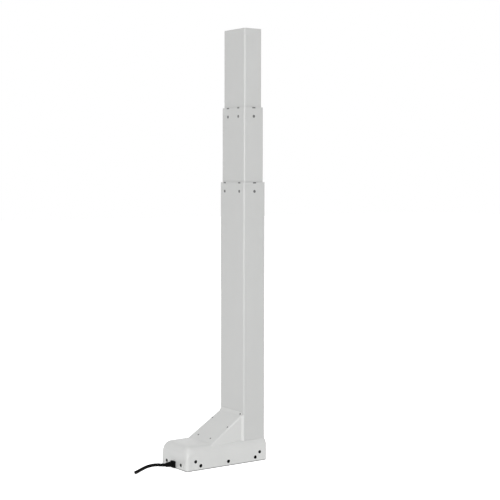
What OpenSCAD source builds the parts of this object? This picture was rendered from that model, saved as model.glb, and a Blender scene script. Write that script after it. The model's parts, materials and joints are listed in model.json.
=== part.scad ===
// Electric lifting column: three nested rectangular tubes on an L-shaped cast foot.
// A worm-gear motor in the foot turns a solid spindle, and the spindle's driver turns a
// hollow spindle around it. One nut on each spindle lifts one stage, so both stages rise together.
// Millimetres, +Z up. The origin is on the column axis, at the underside of the base plate.
// X runs along the foot (the motor is at -X) and Y across it.

/* [Tubes] */
// Outer tube, long side (across the foot)
outer_w = 80; // [76:0.5:90]
// Outer tube, short side (along the foot)
outer_d = 50; // [49:0.5:60]
// Wall of every tube
tube_wall = 1.5; // [1.2:0.1:2]
// Play between one tube and the next, filled by the guide pads
tube_gap = 1; // [0.8:0.1:1.3]
// Outer corner radius of every tube
tube_corner_r = 3; // [2.6:0.1:4]
// Height of the outer tube's rim above the floor
outer_rim_z = 537.8; // [520:0.1:600]
// Middle rim above the outer rim when fully down
middle_rise = 8; // [4:0.5:20]
// Top end above the middle rim when fully down
top_rise = 14.2; // [6:0.1:25]

/* [Travel] */
// Travel of each of the two moving stages
stage_stroke = 325; // [200:5:330]
// How far each stage is drawn out
stage_extension = 135; // [0:1:200]

/* [Guide pads] */
// Depth of the stud holes below each rim
stud_depth = 17.5; // [14:0.5:22]
// Diameter of the studs
stud_d = 5.5; // [4:0.1:6]
// Studs of the outer tube's wide faces, from the middle
outer_stud_y = 24.5; // [16:0.5:28]
// Studs of the middle tube's wide faces, from the middle
middle_stud_y = 17.4; // [12:0.1:24]
// Width of a pad
pad_w = 12; // [8:0.5:14]
// Length of a pad
pad_h = 30; // [24:1:40]
// Width of the hook over the rim
hook_w = 7; // [5:0.5:8]
// Depth of the hook's notch in the rim
hook_h = 2.4; // [1.5:0.1:4]
// Running clearance between a pad and the tube that slides on it
pad_clear = 0.1; // [0.05:0.01:0.15]

/* [Motor box] */
// Length of the box from the tube's face to its far end
box_reach = 132.5; // [128:0.5:150]
// Ledge of the box beside the tube
box_shoulder = 5.3; // [5:0.1:8]
// Wall of the box beyond the tube's far face
box_lip = 1.9; // [1.5:0.1:4]
// Top of the box above the floor
box_top_z = 46; // [45:0.5:50]
// Radius along the long top edges
box_edge_r = 16; // [13:0.5:18]
// Radius of the upright corners
box_end_r = 6; // [4:0.5:8]
// Radius of the top edge at the far end
box_end_top_r = 15; // [10:0.5:16]
// Wall of the casting
box_wall = 4; // [3.5:0.1:4.4]
// Thickness of the base plate
plate_t = 2; // [1.5:0.1:3]
// Clearance round the tube in its socket
socket_clear = 0.1; // [0.05:0.01:0.2]

/* [Gusset] */
// Height of the gusset above the box
gusset_h = 47.5; // [40:0.5:56]
// Run of the gusset along the box
gusset_run = 72; // [66:0.5:78]
// Inset of the gusset's sides from the sides of the tube
gusset_side = 3; // [3:0.5:5]
// Widening of each side from the tube to the foot of the gusset
gusset_flare = 4; // [2:0.1:4]
// Radius of its long edges
gusset_edge_r = 3; // [2:0.1:4]
// Height of the lip that carries the tube above it
gusset_lip_h = 4.5; // [3:0.5:8]

/* [Foot bolts] */
// Distance between the tapped holes of a long side
bolt_pitch = 62.5; // [58:0.5:63]
// Tapped hole nearest the tube, from the column axis
bolt_first_x = -1; // [-1.5:0.1:0]
// Height of the holes above the floor
bolt_z = 8.6; // [8.5:0.1:9]
// Core diameter of the tapped hole
bolt_core_d = 6.8; // [6:0.1:7]

/* [Drive] */
// Outer diameter of the solid spindle
spindle_d = 14; // [13.6:0.1:14.4]
// Outer diameter of the hollow spindle
hollow_d = 24; // [23.5:0.1:25]
// Inner diameter of the hollow spindle
hollow_bore_d = 16; // [15.6:0.1:16.4]
// Radial clearance of threads and bushes
run_clear = 0.08; // [0.03:0.01:0.1]
// Teeth of the worm wheel
wheel_teeth = 26; // [24:2:28]
// Axial module of the worm
worm_module = 1; // [1:0.01:1.02]
// Pitch diameter of the worm
worm_pitch_d = 9; // [8.8:0.1:9.2]
// Height of the worm axis
worm_z = 24; // [23.5:0.1:24.5]
// Diameter of the motor can
motor_d = 34; // [32:0.5:34]
// Length of the motor can
motor_l = 76; // [60:1:76]

/* [Top plate] */
// Thickness of the top plate
top_plate_t = 6; // [5:0.5:10]
// Tapped holes, distance along the long side
top_hole_y = 50; // [40:1:52]
// Tapped holes, distance along the short side
top_hole_x = 20; // [16:1:24]
// Core diameter of the tapped holes
top_hole_d = 5; // [4:0.1:6]

/* [Cord] */
// Diameter of the motor cord
cord_d = 6; // [5:0.1:6]

/* [Hidden] */
$fn = 48;
cut = 1;      // how far a cut runs past the face it opens
seat = 0.2;   // clearance of a stud or screw in its hole
thread_clear = 0.1;  // clearance of a screw in the metal it is threaded into

// Tubes. Sizes are [short side X, long side Y].
tube_step = 2 * (tube_wall + tube_gap);
outer_size = [outer_d, outer_w];
middle_size = [for (s = outer_size) s - tube_step];
inner_size = [for (s = middle_size) s - tube_step];
wall_both = 2 * tube_wall;
outer_bore = [for (s = outer_size) s - wall_both];
middle_bore = [for (s = middle_size) s - wall_both];
inner_bore = [for (s = inner_size) s - wall_both];
tube_foot_rise = 7;
tube_foot_z = plate_t + tube_foot_rise;
middle_lift = stage_extension;
inner_lift = 2 * stage_extension;
middle_rim_z = outer_rim_z + middle_rise + middle_lift;
top_z = outer_rim_z + middle_rise + top_rise + inner_lift;
foot_gap = 10;         // between the gear cover and the middle tube's foot, fully down
carrier_gap = 4;       // between the middle carrier and the inner tube's foot, fully down
middle_carrier_h = 46;
inner_carrier_h = 40;
gear_top_rise = 18;
middle_foot_z = worm_z + gear_top_rise + foot_gap + middle_lift;
inner_foot_z = worm_z + gear_top_rise + foot_gap + middle_carrier_h + carrier_gap + inner_lift;

// Box, along X from its far end to just beyond the tube
box_x0 = -outer_d / 2 - box_reach;
box_x1 = outer_d / 2 + socket_clear + box_lip;
box_half_w = outer_w / 2 + box_shoulder;
tube_face_x = -outer_d / 2 - socket_clear;
partition_x = tube_face_x - box_wall;
bolt_x = [for (i = [0:2]) bolt_first_x - i * bolt_pitch];
boss_d = bolt_core_d + 5.2;
// the bosses reach in until they stand just under the side of the motor can
boss_under_motor = 1.7;

// Gusset
gusset_top_z = box_top_z + gusset_h;
gusset_w = outer_w - 2 * gusset_side;
gusset_angle = atan(gusset_h / gusset_run);
gusset_cheek_reach = 3.6;  // length of the cheeks along the gusset
slope_reach = norm([gusset_h, gusset_run]);
// Screws of the slanted face: [distance from the tube, place across]
gusset_screw_foot = gusset_run - 8.5;
gusset_screw_places = [
    [-33, -gusset_w / 2 + 3.3], [-23, gusset_w / 2 - 3.9], [-gusset_screw_foot, 21], [-gusset_screw_foot, -21]
];
gusset_screw_d = 2;
gusset_screw_head_d = 3.4;
gusset_screw_head_h = 1.2;
gusset_screw_sink = 1;
lip_screw_x = tube_face_x - 2.3;
lip_screw_y = -gusset_w / 2 + 5.5;
lip_screw_z = gusset_top_z - 0.7;

// Small screws: side screws hold the base plate's tabs and the tube, end screws the end tabs
far_screw_in = 20;
tube_screw_in = 15.7;
side_screw_x = [box_x0 + far_screw_in, outer_d / 2 - tube_screw_in];
side_screw_z = 17.5;
end_screw_y = outer_w / 2 - 15;
end_screw_z = 9.8;
screw_d = 3;
screw_head_d = 5.2;
screw_head_h = 1.8;
head_sink = 1.4;

// Drive: worm beside the column axis, motor behind the tube
worm_starts = 2;
wheel_pitch_d = wheel_teeth * worm_module;
worm_y = (wheel_pitch_d + worm_pitch_d) / 2;
bolt_depth = box_half_w - worm_y - motor_d / 2 + boss_under_motor;
worm_lead = worm_starts * PI * worm_module;
worm_tip_r = worm_pitch_d / 2 + 0.9 * worm_module;
worm_l = 20;
wheel_h = 10;
shaft_d = 5;
neck_d = 28;
neck_slot_w = neck_d + 2;
gear_floor_z = plate_t;
gear_split_z = worm_z + 8;
gear_top_z = worm_z + gear_top_rise;
gear_x = outer_bore.x / 2 - 2.5;
gear_y0 = -20;
gear_y1 = worm_y + 15;
gear_screw_in = 4.5;
gear_screw_places = [for (x = [-1, 1], y = [gear_y0 + gear_screw_in, gear_y1 - gear_screw_in])
    [x * (gear_x - gear_screw_in), y]];
gear_screw_d = 4;
gear_screw_l = 7;
cover_t = 4;
cover_boss_d = 30;
bush_od = 20;
cover_screw_d = 3;
wheel_room_gap = 2;
flange_x = partition_x - 1.9;
flange_t = 3;
gasket_t = 1;
can_x1 = flange_x - flange_t - gasket_t;
can_x0 = can_x1 - motor_l;
cap_l = 10;
cap_x0 = can_x0 - cap_l;
board_gap = 6;
board_t = 1.6;
board_w = 28;
board_x = cap_x0 - board_gap;
flange_side = 4.1;      // between the motor's flange and the box
flange_corner = 3.2;    // from a screw to the edges of the flange's ears
flange_half = [box_half_w - box_wall - worm_y - flange_side, worm_z - gear_floor_z - 6.2];
motor_screw_y = flange_half[0] - flange_corner;
motor_screw_z = flange_half[1] - flange_corner;

// Spindles
nut_h = 30;
journal_d = 10;
hub_bore_d = spindle_d - 2;
bearing_z = plate_t + 4;
bearing_w = 8;
bearing_od = 26;
hub_z = bearing_z + bearing_w;
shoulder_z = worm_z + wheel_h / 2;
driver_l = 20;
driver_reach = 62;      // how deep the driver stands in the hollow spindle, fully up
hollow_foot_rise = 33;  // from the middle tube's foot to the hollow spindle's
hollow_top_gap = 25;    // between the upper nut and the stop ring, fully up
hollow_foot_z = middle_foot_z + hollow_foot_rise;
spindle_top_z = hollow_foot_z - middle_lift + stage_stroke + driver_reach;
hollow_l = inner_foot_z - inner_lift - (middle_foot_z - middle_lift) - hollow_foot_rise + nut_h
    + stage_stroke + hollow_top_gap;
carrier_bearing_w = 9;
carrier_bearing_od = middle_bore.x - 5;
hollow_journal_d = 20;
groove_w = 4;
groove_r = 9.6;

// Nuts' flanges and the screws through them
nut_flange_t = 4;
lower_nut_wall = 6.5;
upper_nut_wall = 4;
lower_nut_body_d = spindle_d + 2 * lower_nut_wall;
upper_nut_body_d = hollow_d + 2 * upper_nut_wall;
nut_screw_d = 3.5;
nut_screw_gap = 3;      // between the nut's body and its screws
nut_flange_edge = 5.5;  // from a screw to the end of the flange
lower_nut_screw_y = lower_nut_body_d / 2 + nut_screw_d / 2 + nut_screw_gap;
upper_nut_screw_y = upper_nut_body_d / 2 + nut_screw_d / 2 + nut_screw_gap;
lower_nut_flange = [middle_bore.x - 6, 2 * (lower_nut_screw_y + nut_flange_edge)];
upper_nut_flange = [inner_bore.x - 1, 2 * (upper_nut_screw_y + nut_flange_edge)];
nut_screw_l = 14;
nut_screw_head_d = 7;
nut_screw_head_h = 2;

// Cord: the route of its middle line, from the gland to its cut end
gland_z = 8;
gland_l = 17.5;
gland_inner_l = 3.5;
gland_end_x = box_x0 - gland_l;
gland_w = 14;
gland_top_z = 13.8;
gland_slot_w = 10;
gland_slot_top = 12;
gland_nose_d = 7.6;
gland_rib_d = 10.6;
gland_rib_pitch = 3.4;
// Each point is [distance from the end of the gland, place across, height above the gland's middle]
cord_route = [
    [0, 0, 0], [4.3, 0, 0.3], [8.6, 0, 1], [12.9, 0, 1.7], [17.2, 0, 2.5], [21.4, 0, 2.9], [25.7, 0, 3.2],
    [30.1, 0, 3.2], [34.5, 0, 2.9], [38.7, 0, 2.4], [43, 0, 1.6], [47.1, -0.2, 0.6], [51.4, -0.6, -0.5],
    [55.5, -1.2, -1.6], [59.6, -1.8, -2.8], [63.8, -2.4, -3.8], [68, -3, -4.7]
];
CORD = [for (p = cord_route) [gland_end_x - p.x, p.y, gland_z + p.z]];

// ---------- 2D shapes ----------

// Rectangle with round corners, centred
module rounded_rect(size, r) {
    square([size.x - 2 * r, size.y], center = true);
    square([size.x, size.y - 2 * r], center = true);
    for (x = [-1, 1], y = [-1, 1])
        translate([x * (size.x / 2 - r), y * (size.y / 2 - r)]) circle(r);
}

// Upright outline with two round top corners; y is up, the foot is at y0
module arch(half_w, y0, y1, r) {
    translate([-half_w, y0]) square([2 * half_w, y1 - y0 - r]);
    translate([-half_w + r, y0]) square([2 * (half_w - r), y1 - y0]);
    for (side = [-1, 1]) translate([side * (half_w - r), y1 - r]) intersection() {
        circle(r);
        translate([-r, 0]) square([2 * r, r]);
    }
}

// ---------- 3D helpers ----------

// Extrudes a YZ outline along X from x0 to x1
module along_x(x0, x1) {
    translate([x0, 0, 0]) rotate([90, 0, 90]) linear_extrude(x1 - x0) children();
}

// Extrudes an XZ outline along Y, centred, w wide
module along_y(w) {
    translate([0, w / 2, 0]) rotate([90, 0, 0]) linear_extrude(w) children();
}

// Cylinder along X from x0 to x1 at [y, z]
module rod_x(d, x0, x1, y, z) {
    translate([x0, y, z]) rotate([0, 90, 0]) cylinder(d = d, h = x1 - x0);
}

// Cylinder along Y from y0 to y1 at [x, z]
module rod_y(d, y0, y1, x, z) {
    translate([x, y1, z]) rotate([90, 0, 0]) cylinder(d = d, h = y1 - y0);
}

// Plain ring between z0 and z1
module ring(od, id, z0, z1) {
    translate([0, 0, z0]) difference() {
        cylinder(d = od, h = z1 - z0);
        translate([0, 0, -cut]) cylinder(d = id, h = z1 - z0 + 2 * cut);
    }
}

// Block with round upright edges between z0 and z1
module block(size, r, z0, z1) {
    translate([0, 0, z0]) linear_extrude(z1 - z0) rounded_rect(size, r);
}

// Pan-head screw along -Z, its head resting on z = 0
module pan_screw(l, d = screw_d, head_d = screw_head_d, head_h = screw_head_h) {
    difference() {
        union() {
            cylinder(d1 = head_d, d2 = head_d * 0.8, h = head_h);
            translate([0, 0, -l]) cylinder(d = d, h = l + 0.01);
        }
        translate([0, 0, head_h - 0.8]) cylinder(d = d * 0.55, h = 1, $fn = 6);
    }
}

// Races and balls of a ball bearing standing on z = 0
module outer_race(id, od, w) {
    pitch_r = (id + od) / 4;
    ball_r = (od - id) * 0.15;
    rotate_extrude() difference() {
        translate([pitch_r + ball_r * 0.55, 0]) square([od / 2 - pitch_r - ball_r * 0.55, w]);
        translate([pitch_r, w / 2]) circle(ball_r + 0.05);
    }
}

module inner_race(id, od, w) {
    pitch_r = (id + od) / 4;
    ball_r = (od - id) * 0.15;
    rotate_extrude() difference() {
        translate([id / 2, 0]) square([pitch_r - ball_r * 0.55 - id / 2, w]);
        translate([pitch_r, w / 2]) circle(ball_r + 0.05);
    }
}

module race_balls(id, od, w, count) {
    pitch_r = (id + od) / 4;
    ball_r = (od - id) * 0.15;
    for (i = [0:count - 1])
        rotate([0, 0, i * 360 / count]) translate([pitch_r, 0, w / 2]) sphere(ball_r);
}

// ---------- Tubes and their guide pads ----------

// Stud places round a tube: [angle of the face, offset along the face, distance of the face]
function stud_places(size, wide_y) = [
    [0, wide_y, size.x / 2], [0, -wide_y, size.x / 2],
    [180, wide_y, size.x / 2], [180, -wide_y, size.x / 2],
    [90, 0, size.y / 2], [270, 0, size.y / 2]
];

// Puts children on a face, with X pointing out of it and its surface at x = 0
module on_faces(places) {
    for (p = places) rotate([0, 0, p[0]]) translate([p[2], p[1], 0]) children();
}

module tube(size, z0, z1) {
    translate([0, 0, z0]) linear_extrude(z1 - z0) difference() {
        rounded_rect(size, tube_corner_r);
        rounded_rect([for (s = size) s - wall_both], tube_corner_r - tube_wall);
    }
}

// Tube whose rim is pierced and notched for the pads, and whose foot is pierced for the foot pads
module stage_tube(size, z0, z1, wide_y) {
    difference() {
        tube(size, z0, z1);
        on_faces(stud_places(size, wide_y)) {
            rod_x(stud_d + seat, -tube_wall - cut, cut, 0, z1 - stud_depth);
            translate([-tube_wall - cut, -(hook_w + seat) / 2, z1 - hook_h])
                cube([tube_wall + 2 * cut, hook_w + seat, hook_h + cut]);
        }
    }
}

// Pads hanging in the gap inside a rim, each with a stud and a hook in the wall
module rim_pads(size, rim_z, wide_y) {
    pad_t = tube_gap - pad_clear;
    on_faces(stud_places(size, wide_y)) {
        translate([-tube_wall - pad_t, -pad_w / 2, rim_z - pad_h]) cube([pad_t, pad_w, pad_h]);
        rod_x(stud_d, -tube_wall - 0.01, 0.1, 0, rim_z - stud_depth);
        translate([-tube_wall - 0.01, -hook_w / 2, rim_z - hook_h]) cube([tube_wall + 0.11, hook_w, hook_h]);
    }
}

// Pads outside the foot of a tube, each with a stud through its wall
module foot_pads(size, foot_z, wide_y) {
    pad_t = tube_gap - pad_clear;
    on_faces(stud_places(size, wide_y)) {
        translate([0, -pad_w / 2, foot_z + 2]) cube([pad_t, pad_w, pad_h]);
        rod_x(stud_d, -tube_wall, 0.01, 0, foot_z + 2 + pad_h / 2);
    }
}

// Stud holes for the foot pads
module foot_holes(size, foot_z, wide_y) {
    on_faces(stud_places(size, wide_y))
        rod_x(stud_d + seat, -tube_wall - cut, cut, 0, foot_z + 2 + pad_h / 2);
}

module outer_tube() {
    color("gainsboro") difference() {
        stage_tube(outer_size, tube_foot_z, outer_rim_z, outer_stud_y);
        // open slot for the neck of the gear housing, and notches that straddle the nearest bosses
        translate([-outer_d / 2 - cut, worm_y - neck_slot_w / 2, tube_foot_z - cut])
            cube([tube_wall + 2 * cut, neck_slot_w, worm_z - tube_foot_z + cut]);
        rod_x(neck_slot_w, -outer_d / 2 - cut, -outer_d / 2 + tube_wall + cut, worm_y, worm_z);
        translate([bolt_x[0] - boss_d / 2 - 0.3, -outer_w / 2 - cut, tube_foot_z - cut])
            cube([boss_d + 0.6, outer_w + 2 * cut, bolt_z + boss_d / 2 - tube_foot_z + cut + 0.3]);
        rod_y(screw_d, -outer_w / 2 - cut, outer_w / 2 + cut, side_screw_x[1], side_screw_z);
        rod_x(gusset_screw_d, -outer_d / 2 - cut, -outer_d / 2 + tube_wall + cut, lip_screw_y, lip_screw_z);
    }
}

module outer_guide_pads() {
    color("dimgray") rim_pads(outer_size, outer_rim_z, outer_stud_y);
}

// ---------- Motor box ----------

// How far a corner of radius r stands back, d before its face
function set_back(r, d) = d < r ? r - sqrt(r * r - (r - d) * (r - d)) : 0;

// Outer skin of the box: a round-topped outline that shrinks into both ends
module box_skin() {
    steps = 6;
    slice_t = 0.1;
    near_r = box_end_r * 0.75;
    hull() {
        along_x(box_x0 + box_end_top_r, box_x1 - near_r)
            arch(box_half_w, plate_t, box_top_z, box_edge_r, $fn = 44);
        for (i = [1:steps]) let (a = i * 90 / steps) {
            far_in = box_end_top_r * (1 - sin(a));
            along_x(box_x0 + far_in, box_x0 + far_in + slice_t)
                arch(box_half_w - set_back(box_end_r, far_in), plate_t,
                    box_top_z - set_back(box_end_top_r, far_in), box_edge_r, $fn = 44);
            near_in = near_r * (1 - sin(a));
            along_x(box_x1 - near_in - slice_t, box_x1 - near_in)
                arch(box_half_w - set_back(near_r, near_in), plate_t,
                    box_top_z - set_back(near_r, near_in), box_edge_r, $fn = 44);
        }
    }
}

// Motor bay, its roof following the round end of the box
module motor_bay() {
    slice_t = 0.1;
    inner_half_w = box_half_w - box_wall;
    hull() {
        along_x(box_x0 + box_end_top_r, partition_x)
            arch(inner_half_w, plate_t - cut, box_top_z - box_wall, box_edge_r - box_wall);
        for (far_in = [box_wall + 0.5, 2 * box_wall])
            along_x(box_x0 + far_in, box_x0 + far_in + slice_t)
                arch(inner_half_w, plate_t - cut, box_top_z - box_wall
                    - set_back(box_end_top_r - box_wall, far_in - box_wall), box_edge_r - box_wall);
    }
}

// Turns children into the frame of the gusset's slanted face: x down the slope is negative
module on_slope() {
    translate([tube_face_x, 0, gusset_top_z]) rotate([0, -gusset_angle, 0]) children();
}

// Slanted body with round long edges, wider at its foot than at the tube
module gusset() {
    hull() {
        gusset_posts(-6);
        gusset_posts(gusset_run + 14);
    }
    gusset_lip();
    gusset_heel();
    gusset_cheeks();
}

// Round-topped posts at both sides of the gusset, their tops under the slanted face
module gusset_posts(out) {
    r = gusset_edge_r;
    half_w = gusset_w / 2 + gusset_flare * out / gusset_run;
    top = [tube_face_x - out + r * sin(gusset_angle),
        gusset_top_z - out * tan(gusset_angle) - r * cos(gusset_angle)];
    foot_z = box_top_z - box_edge_r;
    for (side = [-1, 1]) translate([top.x, side * (half_w - r), 0]) {
        translate([0, 0, top.y]) sphere(r, $fn = 32);
        translate([0, 0, foot_z]) cylinder(r = r, h = top.y - foot_z, $fn = 32);
    }
}

// Concave lip where the slanted face meets the tube
module gusset_lip() {
    lip_t = 1;
    r = 8;
    x = tube_face_x - lip_t;
    slope = tan(gusset_angle);
    turn = 90 - gusset_angle;
    tangent = r * tan(turn / 2);
    meet_z = gusset_top_z - lip_t * slope;
    centre = [x - r, meet_z + tangent];
    intersection() {
        along_y(gusset_w - 2 * gusset_edge_r + 2) polygon(concat(
            [[tube_face_x, gusset_top_z - 14], [tube_face_x, centre.y], [x, centre.y]],
            [for (a = [0:turn / 6:turn]) centre + r * [cos(a), -sin(a)]],
            [[x - 10, meet_z - 10 * slope - 4]]
        ));
        translate([tube_face_x - gusset_run, -gusset_w / 2, 0])
            cube([gusset_run, gusset_w, gusset_top_z + gusset_lip_h]);
    }
}

// Concave heel where the slanted face meets the top of the box
module gusset_heel() {
    r = 9;
    sink = 0.04;  // puts the ends of the arc just below the faces they run into
    tangent = r * tan(gusset_angle / 2);
    foot_x = tube_face_x - gusset_run;
    centre = [foot_x - tangent, box_top_z + r - sink];
    along_y(2 * (box_half_w - box_edge_r) - 0.6) polygon(concat(
        [for (a = [0:gusset_angle / 4:gusset_angle]) centre + r * [sin(a), -cos(a)]],
        [[foot_x + 6, box_top_z - 1], [centre.x, box_top_z - 1]]
    ));
}

// Slanted cheeks that widen the gusset to the corners of the tube
module gusset_cheeks() {
    rise = gusset_side + 0.3;
    intersection() {
        translate([0, 0, box_top_z - box_edge_r]) linear_extrude(gusset_h + box_edge_r)
            for (side = [-1, 1]) polygon([
                [tube_face_x - gusset_cheek_reach, side * (gusset_w / 2 - 1)],
                [tube_face_x - gusset_cheek_reach, side * gusset_w / 2],
                [tube_face_x, side * (gusset_w / 2 + rise)],
                [tube_face_x + 1.4, side * (gusset_w / 2 + rise)],
                [tube_face_x + 1.4, side * (gusset_w / 2 - 1)]
            ]);
        on_slope() translate([-slope_reach, -box_half_w, -2 * slope_reach])
            cube([2 * slope_reach, 2 * box_half_w, 2 * slope_reach - 1]);
    }
}

module motor_housing() {
    inner_top_z = box_top_z - box_wall;
    hollow_x = partition_x - 0.5;
    color("whitesmoke") difference() {
        union() {
            difference() {
                union() {
                    box_skin();
                    gusset();
                }
                // motor bay, gusset hollow and the well below the gear housing
                motor_bay();
                along_y(gusset_w - 2 * box_wall) polygon([
                    [hollow_x, inner_top_z - 4],
                    [hollow_x, gusset_top_z - 1.2 * box_wall - box_wall * tan(gusset_angle)],
                    [tube_face_x - gusset_run + 1.5 * box_wall, inner_top_z + 0.2],
                    [tube_face_x - gusset_run + 1.5 * box_wall, inner_top_z - 4]
                ]);
                block([outer_d - 5, outer_w - 9], 2, plate_t - cut, tube_foot_z + cut);
            }
            // bosses round the tapped holes
            for (x = bolt_x, side = [-1, 1])
                intersection() {
                    rod_y(boss_d, side > 0 ? box_half_w - bolt_depth : -box_half_w + 1,
                        side > 0 ? box_half_w - 1 : -box_half_w + bolt_depth, x, bolt_z);
                    translate([box_x0, -box_half_w, plate_t])
                        cube([box_x1 - box_x0, 2 * box_half_w, box_top_z]);
                }
        }
        tube_socket();
        neck_slot();
        for (x = bolt_x, side = [-1, 1])
            rod_y(bolt_core_d, side > 0 ? box_half_w - bolt_depth - cut : -box_half_w - cut,
                side > 0 ? box_half_w + cut : -box_half_w + bolt_depth + cut, x, bolt_z);
        for (x = side_screw_x, side = [-1, 1]) side_place(x, side) screw_hole(box_shoulder + 1);
        for (y = [-end_screw_y, end_screw_y]) end_place(y) screw_hole(box_wall + 2);
        for (p = gusset_screw_places) gusset_place(p) gusset_screw_hole(9);
        lip_place() gusset_screw_hole(6);
        // slot for the gland, open below
        along_x(box_x0 - cut, box_x0 + box_wall + 2) gland_slot(gland_slot_w, gland_slot_top);
    }
}

// Socket of the tube, its round-cornered hole widened where the bosses rise into the tube's notches
module tube_socket() {
    fit = [outer_d + 2 * socket_clear, outer_w + 2 * socket_clear];
    difference() {
        block(fit, tube_corner_r + socket_clear, tube_foot_z, gusset_top_z + gusset_h);
        for (side = [-1, 1])
            rod_y(boss_d, side > 0 ? box_half_w - bolt_depth : -box_half_w,
                side > 0 ? box_half_w : -box_half_w + bolt_depth, bolt_x[0], bolt_z);
    }
}

// Slot in the partition behind the tube, open below, for the neck of the gear housing
module neck_slot() {
    translate([partition_x - cut, worm_y - neck_slot_w / 2, plate_t - cut])
        cube([outer_d / 2 + box_wall, neck_slot_w, worm_z - plate_t + cut]);
    rod_x(neck_slot_w, partition_x - cut, -outer_d / 4, worm_y, worm_z);
}

// Screw places. Each puts z = 0 on the outer surface, with +Z pointing out of it.
module side_place(x, side) {
    translate([x, side * box_half_w, side_screw_z]) rotate([-side * 90, 0, 0]) children();
}

module end_place(y) {
    translate([box_x0, y, end_screw_z]) rotate([0, -90, 0]) children();
}

module gusset_place(p) {
    slope_x = p[0] / cos(gusset_angle);
    on_slope() translate([slope_x, p[1], 0]) children();
}

module lip_place() {
    translate([lip_screw_x, lip_screw_y, lip_screw_z]) rotate([0, -90, 0]) children();
}

// Hole for a small screw, with a counterbore that takes its head
module screw_hole(l) {
    translate([0, 0, -l]) cylinder(d = screw_d + seat, h = l);
    translate([0, 0, -head_sink]) cylinder(d = screw_head_d + 2 * seat, h = head_sink + 4);
}

module gusset_screw_hole(l) {
    translate([0, 0, -l]) cylinder(d = gusset_screw_d + seat, h = l);
    translate([0, 0, -gusset_screw_sink]) cylinder(d = gusset_screw_head_d + seat, h = gusset_screw_sink + 3);
}

module gusset_screw(l) {
    translate([0, 0, -gusset_screw_sink])
        pan_screw(l, d = gusset_screw_d, head_d = gusset_screw_head_d, head_h = gusset_screw_head_h);
}

module side_screws() {
    color("black") for (x = side_screw_x, side = [-1, 1]) side_place(x, side)
        translate([0, 0, -head_sink]) pan_screw(box_shoulder + (x < 0 ? 0.2 : 0.6));
}

module end_screws() {
    color("black") for (y = [-end_screw_y, end_screw_y]) end_place(y)
        translate([0, 0, -head_sink]) pan_screw(box_wall + 0.8);
}

module gusset_screws() {
    color("dimgray") for (p = gusset_screw_places) gusset_place(p) gusset_screw(5);
}

module tube_lip_screw() {
    color("dimgray") lip_place() gusset_screw(2.8);
}

// Base plate: folded steel with upturned tabs behind the side and end screws
module base_plate() {
    tab_t = 1.5;
    tab_w = 9;
    tab_h = 22;
    inner_half_w = box_half_w - box_wall;
    color("dimgray") difference() {
        union() {
            translate([(box_x0 + box_x1) / 2, 0, 0]) linear_extrude(plate_t)
                rounded_rect([box_x1 - box_x0 - 1, 2 * box_half_w - 1], box_end_r * 0.7);
            for (side = [-1, 1])
                translate([side_screw_x[0] - tab_w / 2, side > 0 ? inner_half_w - tab_t - 0.2
                    : -inner_half_w + 0.2, 0]) cube([tab_w, tab_t, tab_h]);
            for (y = [-end_screw_y, end_screw_y])
                translate([box_x0 + box_wall + 0.7, y - tab_w / 2, 0]) cube([tab_t, tab_w, tab_h - 6]);
        }
        rod_y(screw_d + thread_clear, -box_half_w, box_half_w, side_screw_x[0], side_screw_z);
        for (y = [-end_screw_y, end_screw_y])
            rod_x(screw_d + thread_clear, box_x0, box_x0 + 15, y, end_screw_z);
        for (p = gear_screw_places) translate([p.x, p.y, -cut]) {
            cylinder(d = gear_screw_d + seat, h = plate_t + 2 * cut);
            translate([0, 0, cut - 0.01])
                cylinder(d1 = 2 * gear_screw_d, d2 = gear_screw_d + seat, h = plate_t + 0.02);
        }
    }
}

// ---------- Cord and gland ----------

module gland_slot(w, top) {
    arch(w / 2, plate_t - cut, top, 2);
}

module cord_gland() {
    flange_t = 3.6;
    wall = box_wall + 0.5;
    color("black") union() {
        along_x(box_x0 - flange_t, box_x0 - 0.1) arch(gland_w / 2, 1.2, gland_top_z, 2.5);
        along_x(box_x0 - 0.11, box_x0 + wall + 0.11)
            arch(gland_slot_w / 2 - 0.1, plate_t + 0.1, gland_slot_top - 0.1, 1.9);
        along_x(box_x0 + wall + 0.1, box_x0 + wall + gland_inner_l)
            arch(gland_w / 2, plate_t + 0.1, gland_top_z, 2.5);
        // nose with four ribs that get smaller towards the cord
        for (i = [0:3])
            rod_x(gland_rib_d - i * 0.7, gland_end_x + (3 - i) * gland_rib_pitch + 0.9,
                gland_end_x + (4 - i) * gland_rib_pitch, 0, gland_z);
        rod_x(gland_nose_d, gland_end_x, box_x0 - flange_t + 0.01, 0, gland_z);
    }
}

// Rings of the cord's tube
function unit(v) = v / norm(v);
function cord_tangent(i) =
    i == 0 ? [-1, 0, 0] : unit(CORD[min(i + 1, len(CORD) - 1)] - CORD[i - 1]);
function cord_ring(i, sides) = let (t = cord_tangent(i), u = unit(cross(t, [0, 1, 0])), v = cross(t, u))
    [for (k = [0:sides - 1]) let (a = 360 * k / sides) CORD[i] + cord_d / 2 * (cos(a) * u + sin(a) * v)];

module motor_cord() {
    sides = 12;
    rings = len(CORD);
    color("black") polyhedron(
        points = [for (i = [0:rings - 1]) each cord_ring(i, sides)],
        faces = concat(
            [[for (k = [0:sides - 1]) k]],
            [for (i = [0:rings - 2], k = [0:sides - 1])
                let (a = i * sides + k, b = i * sides + (k + 1) % sides)
                each [[a, a + sides, b + sides], [a, b + sides, b]]],
            [[for (k = [sides - 1:-1:0]) (rings - 1) * sides + k]]
        ));
}

// ---------- Gear housing ----------

module gear_outline(inset = 0) {
    translate([0, (gear_y0 + gear_y1) / 2])
        rounded_rect([2 * (gear_x - inset), gear_y1 - gear_y0 - 2 * inset], 4);
}

// Room round the worm wheel, between z0 and z1
module wheel_room(z0, z1) {
    translate([0, 0, z0]) cylinder(r = wheel_pitch_d / 2 + wheel_room_gap, h = z1 - z0);
}

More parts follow.
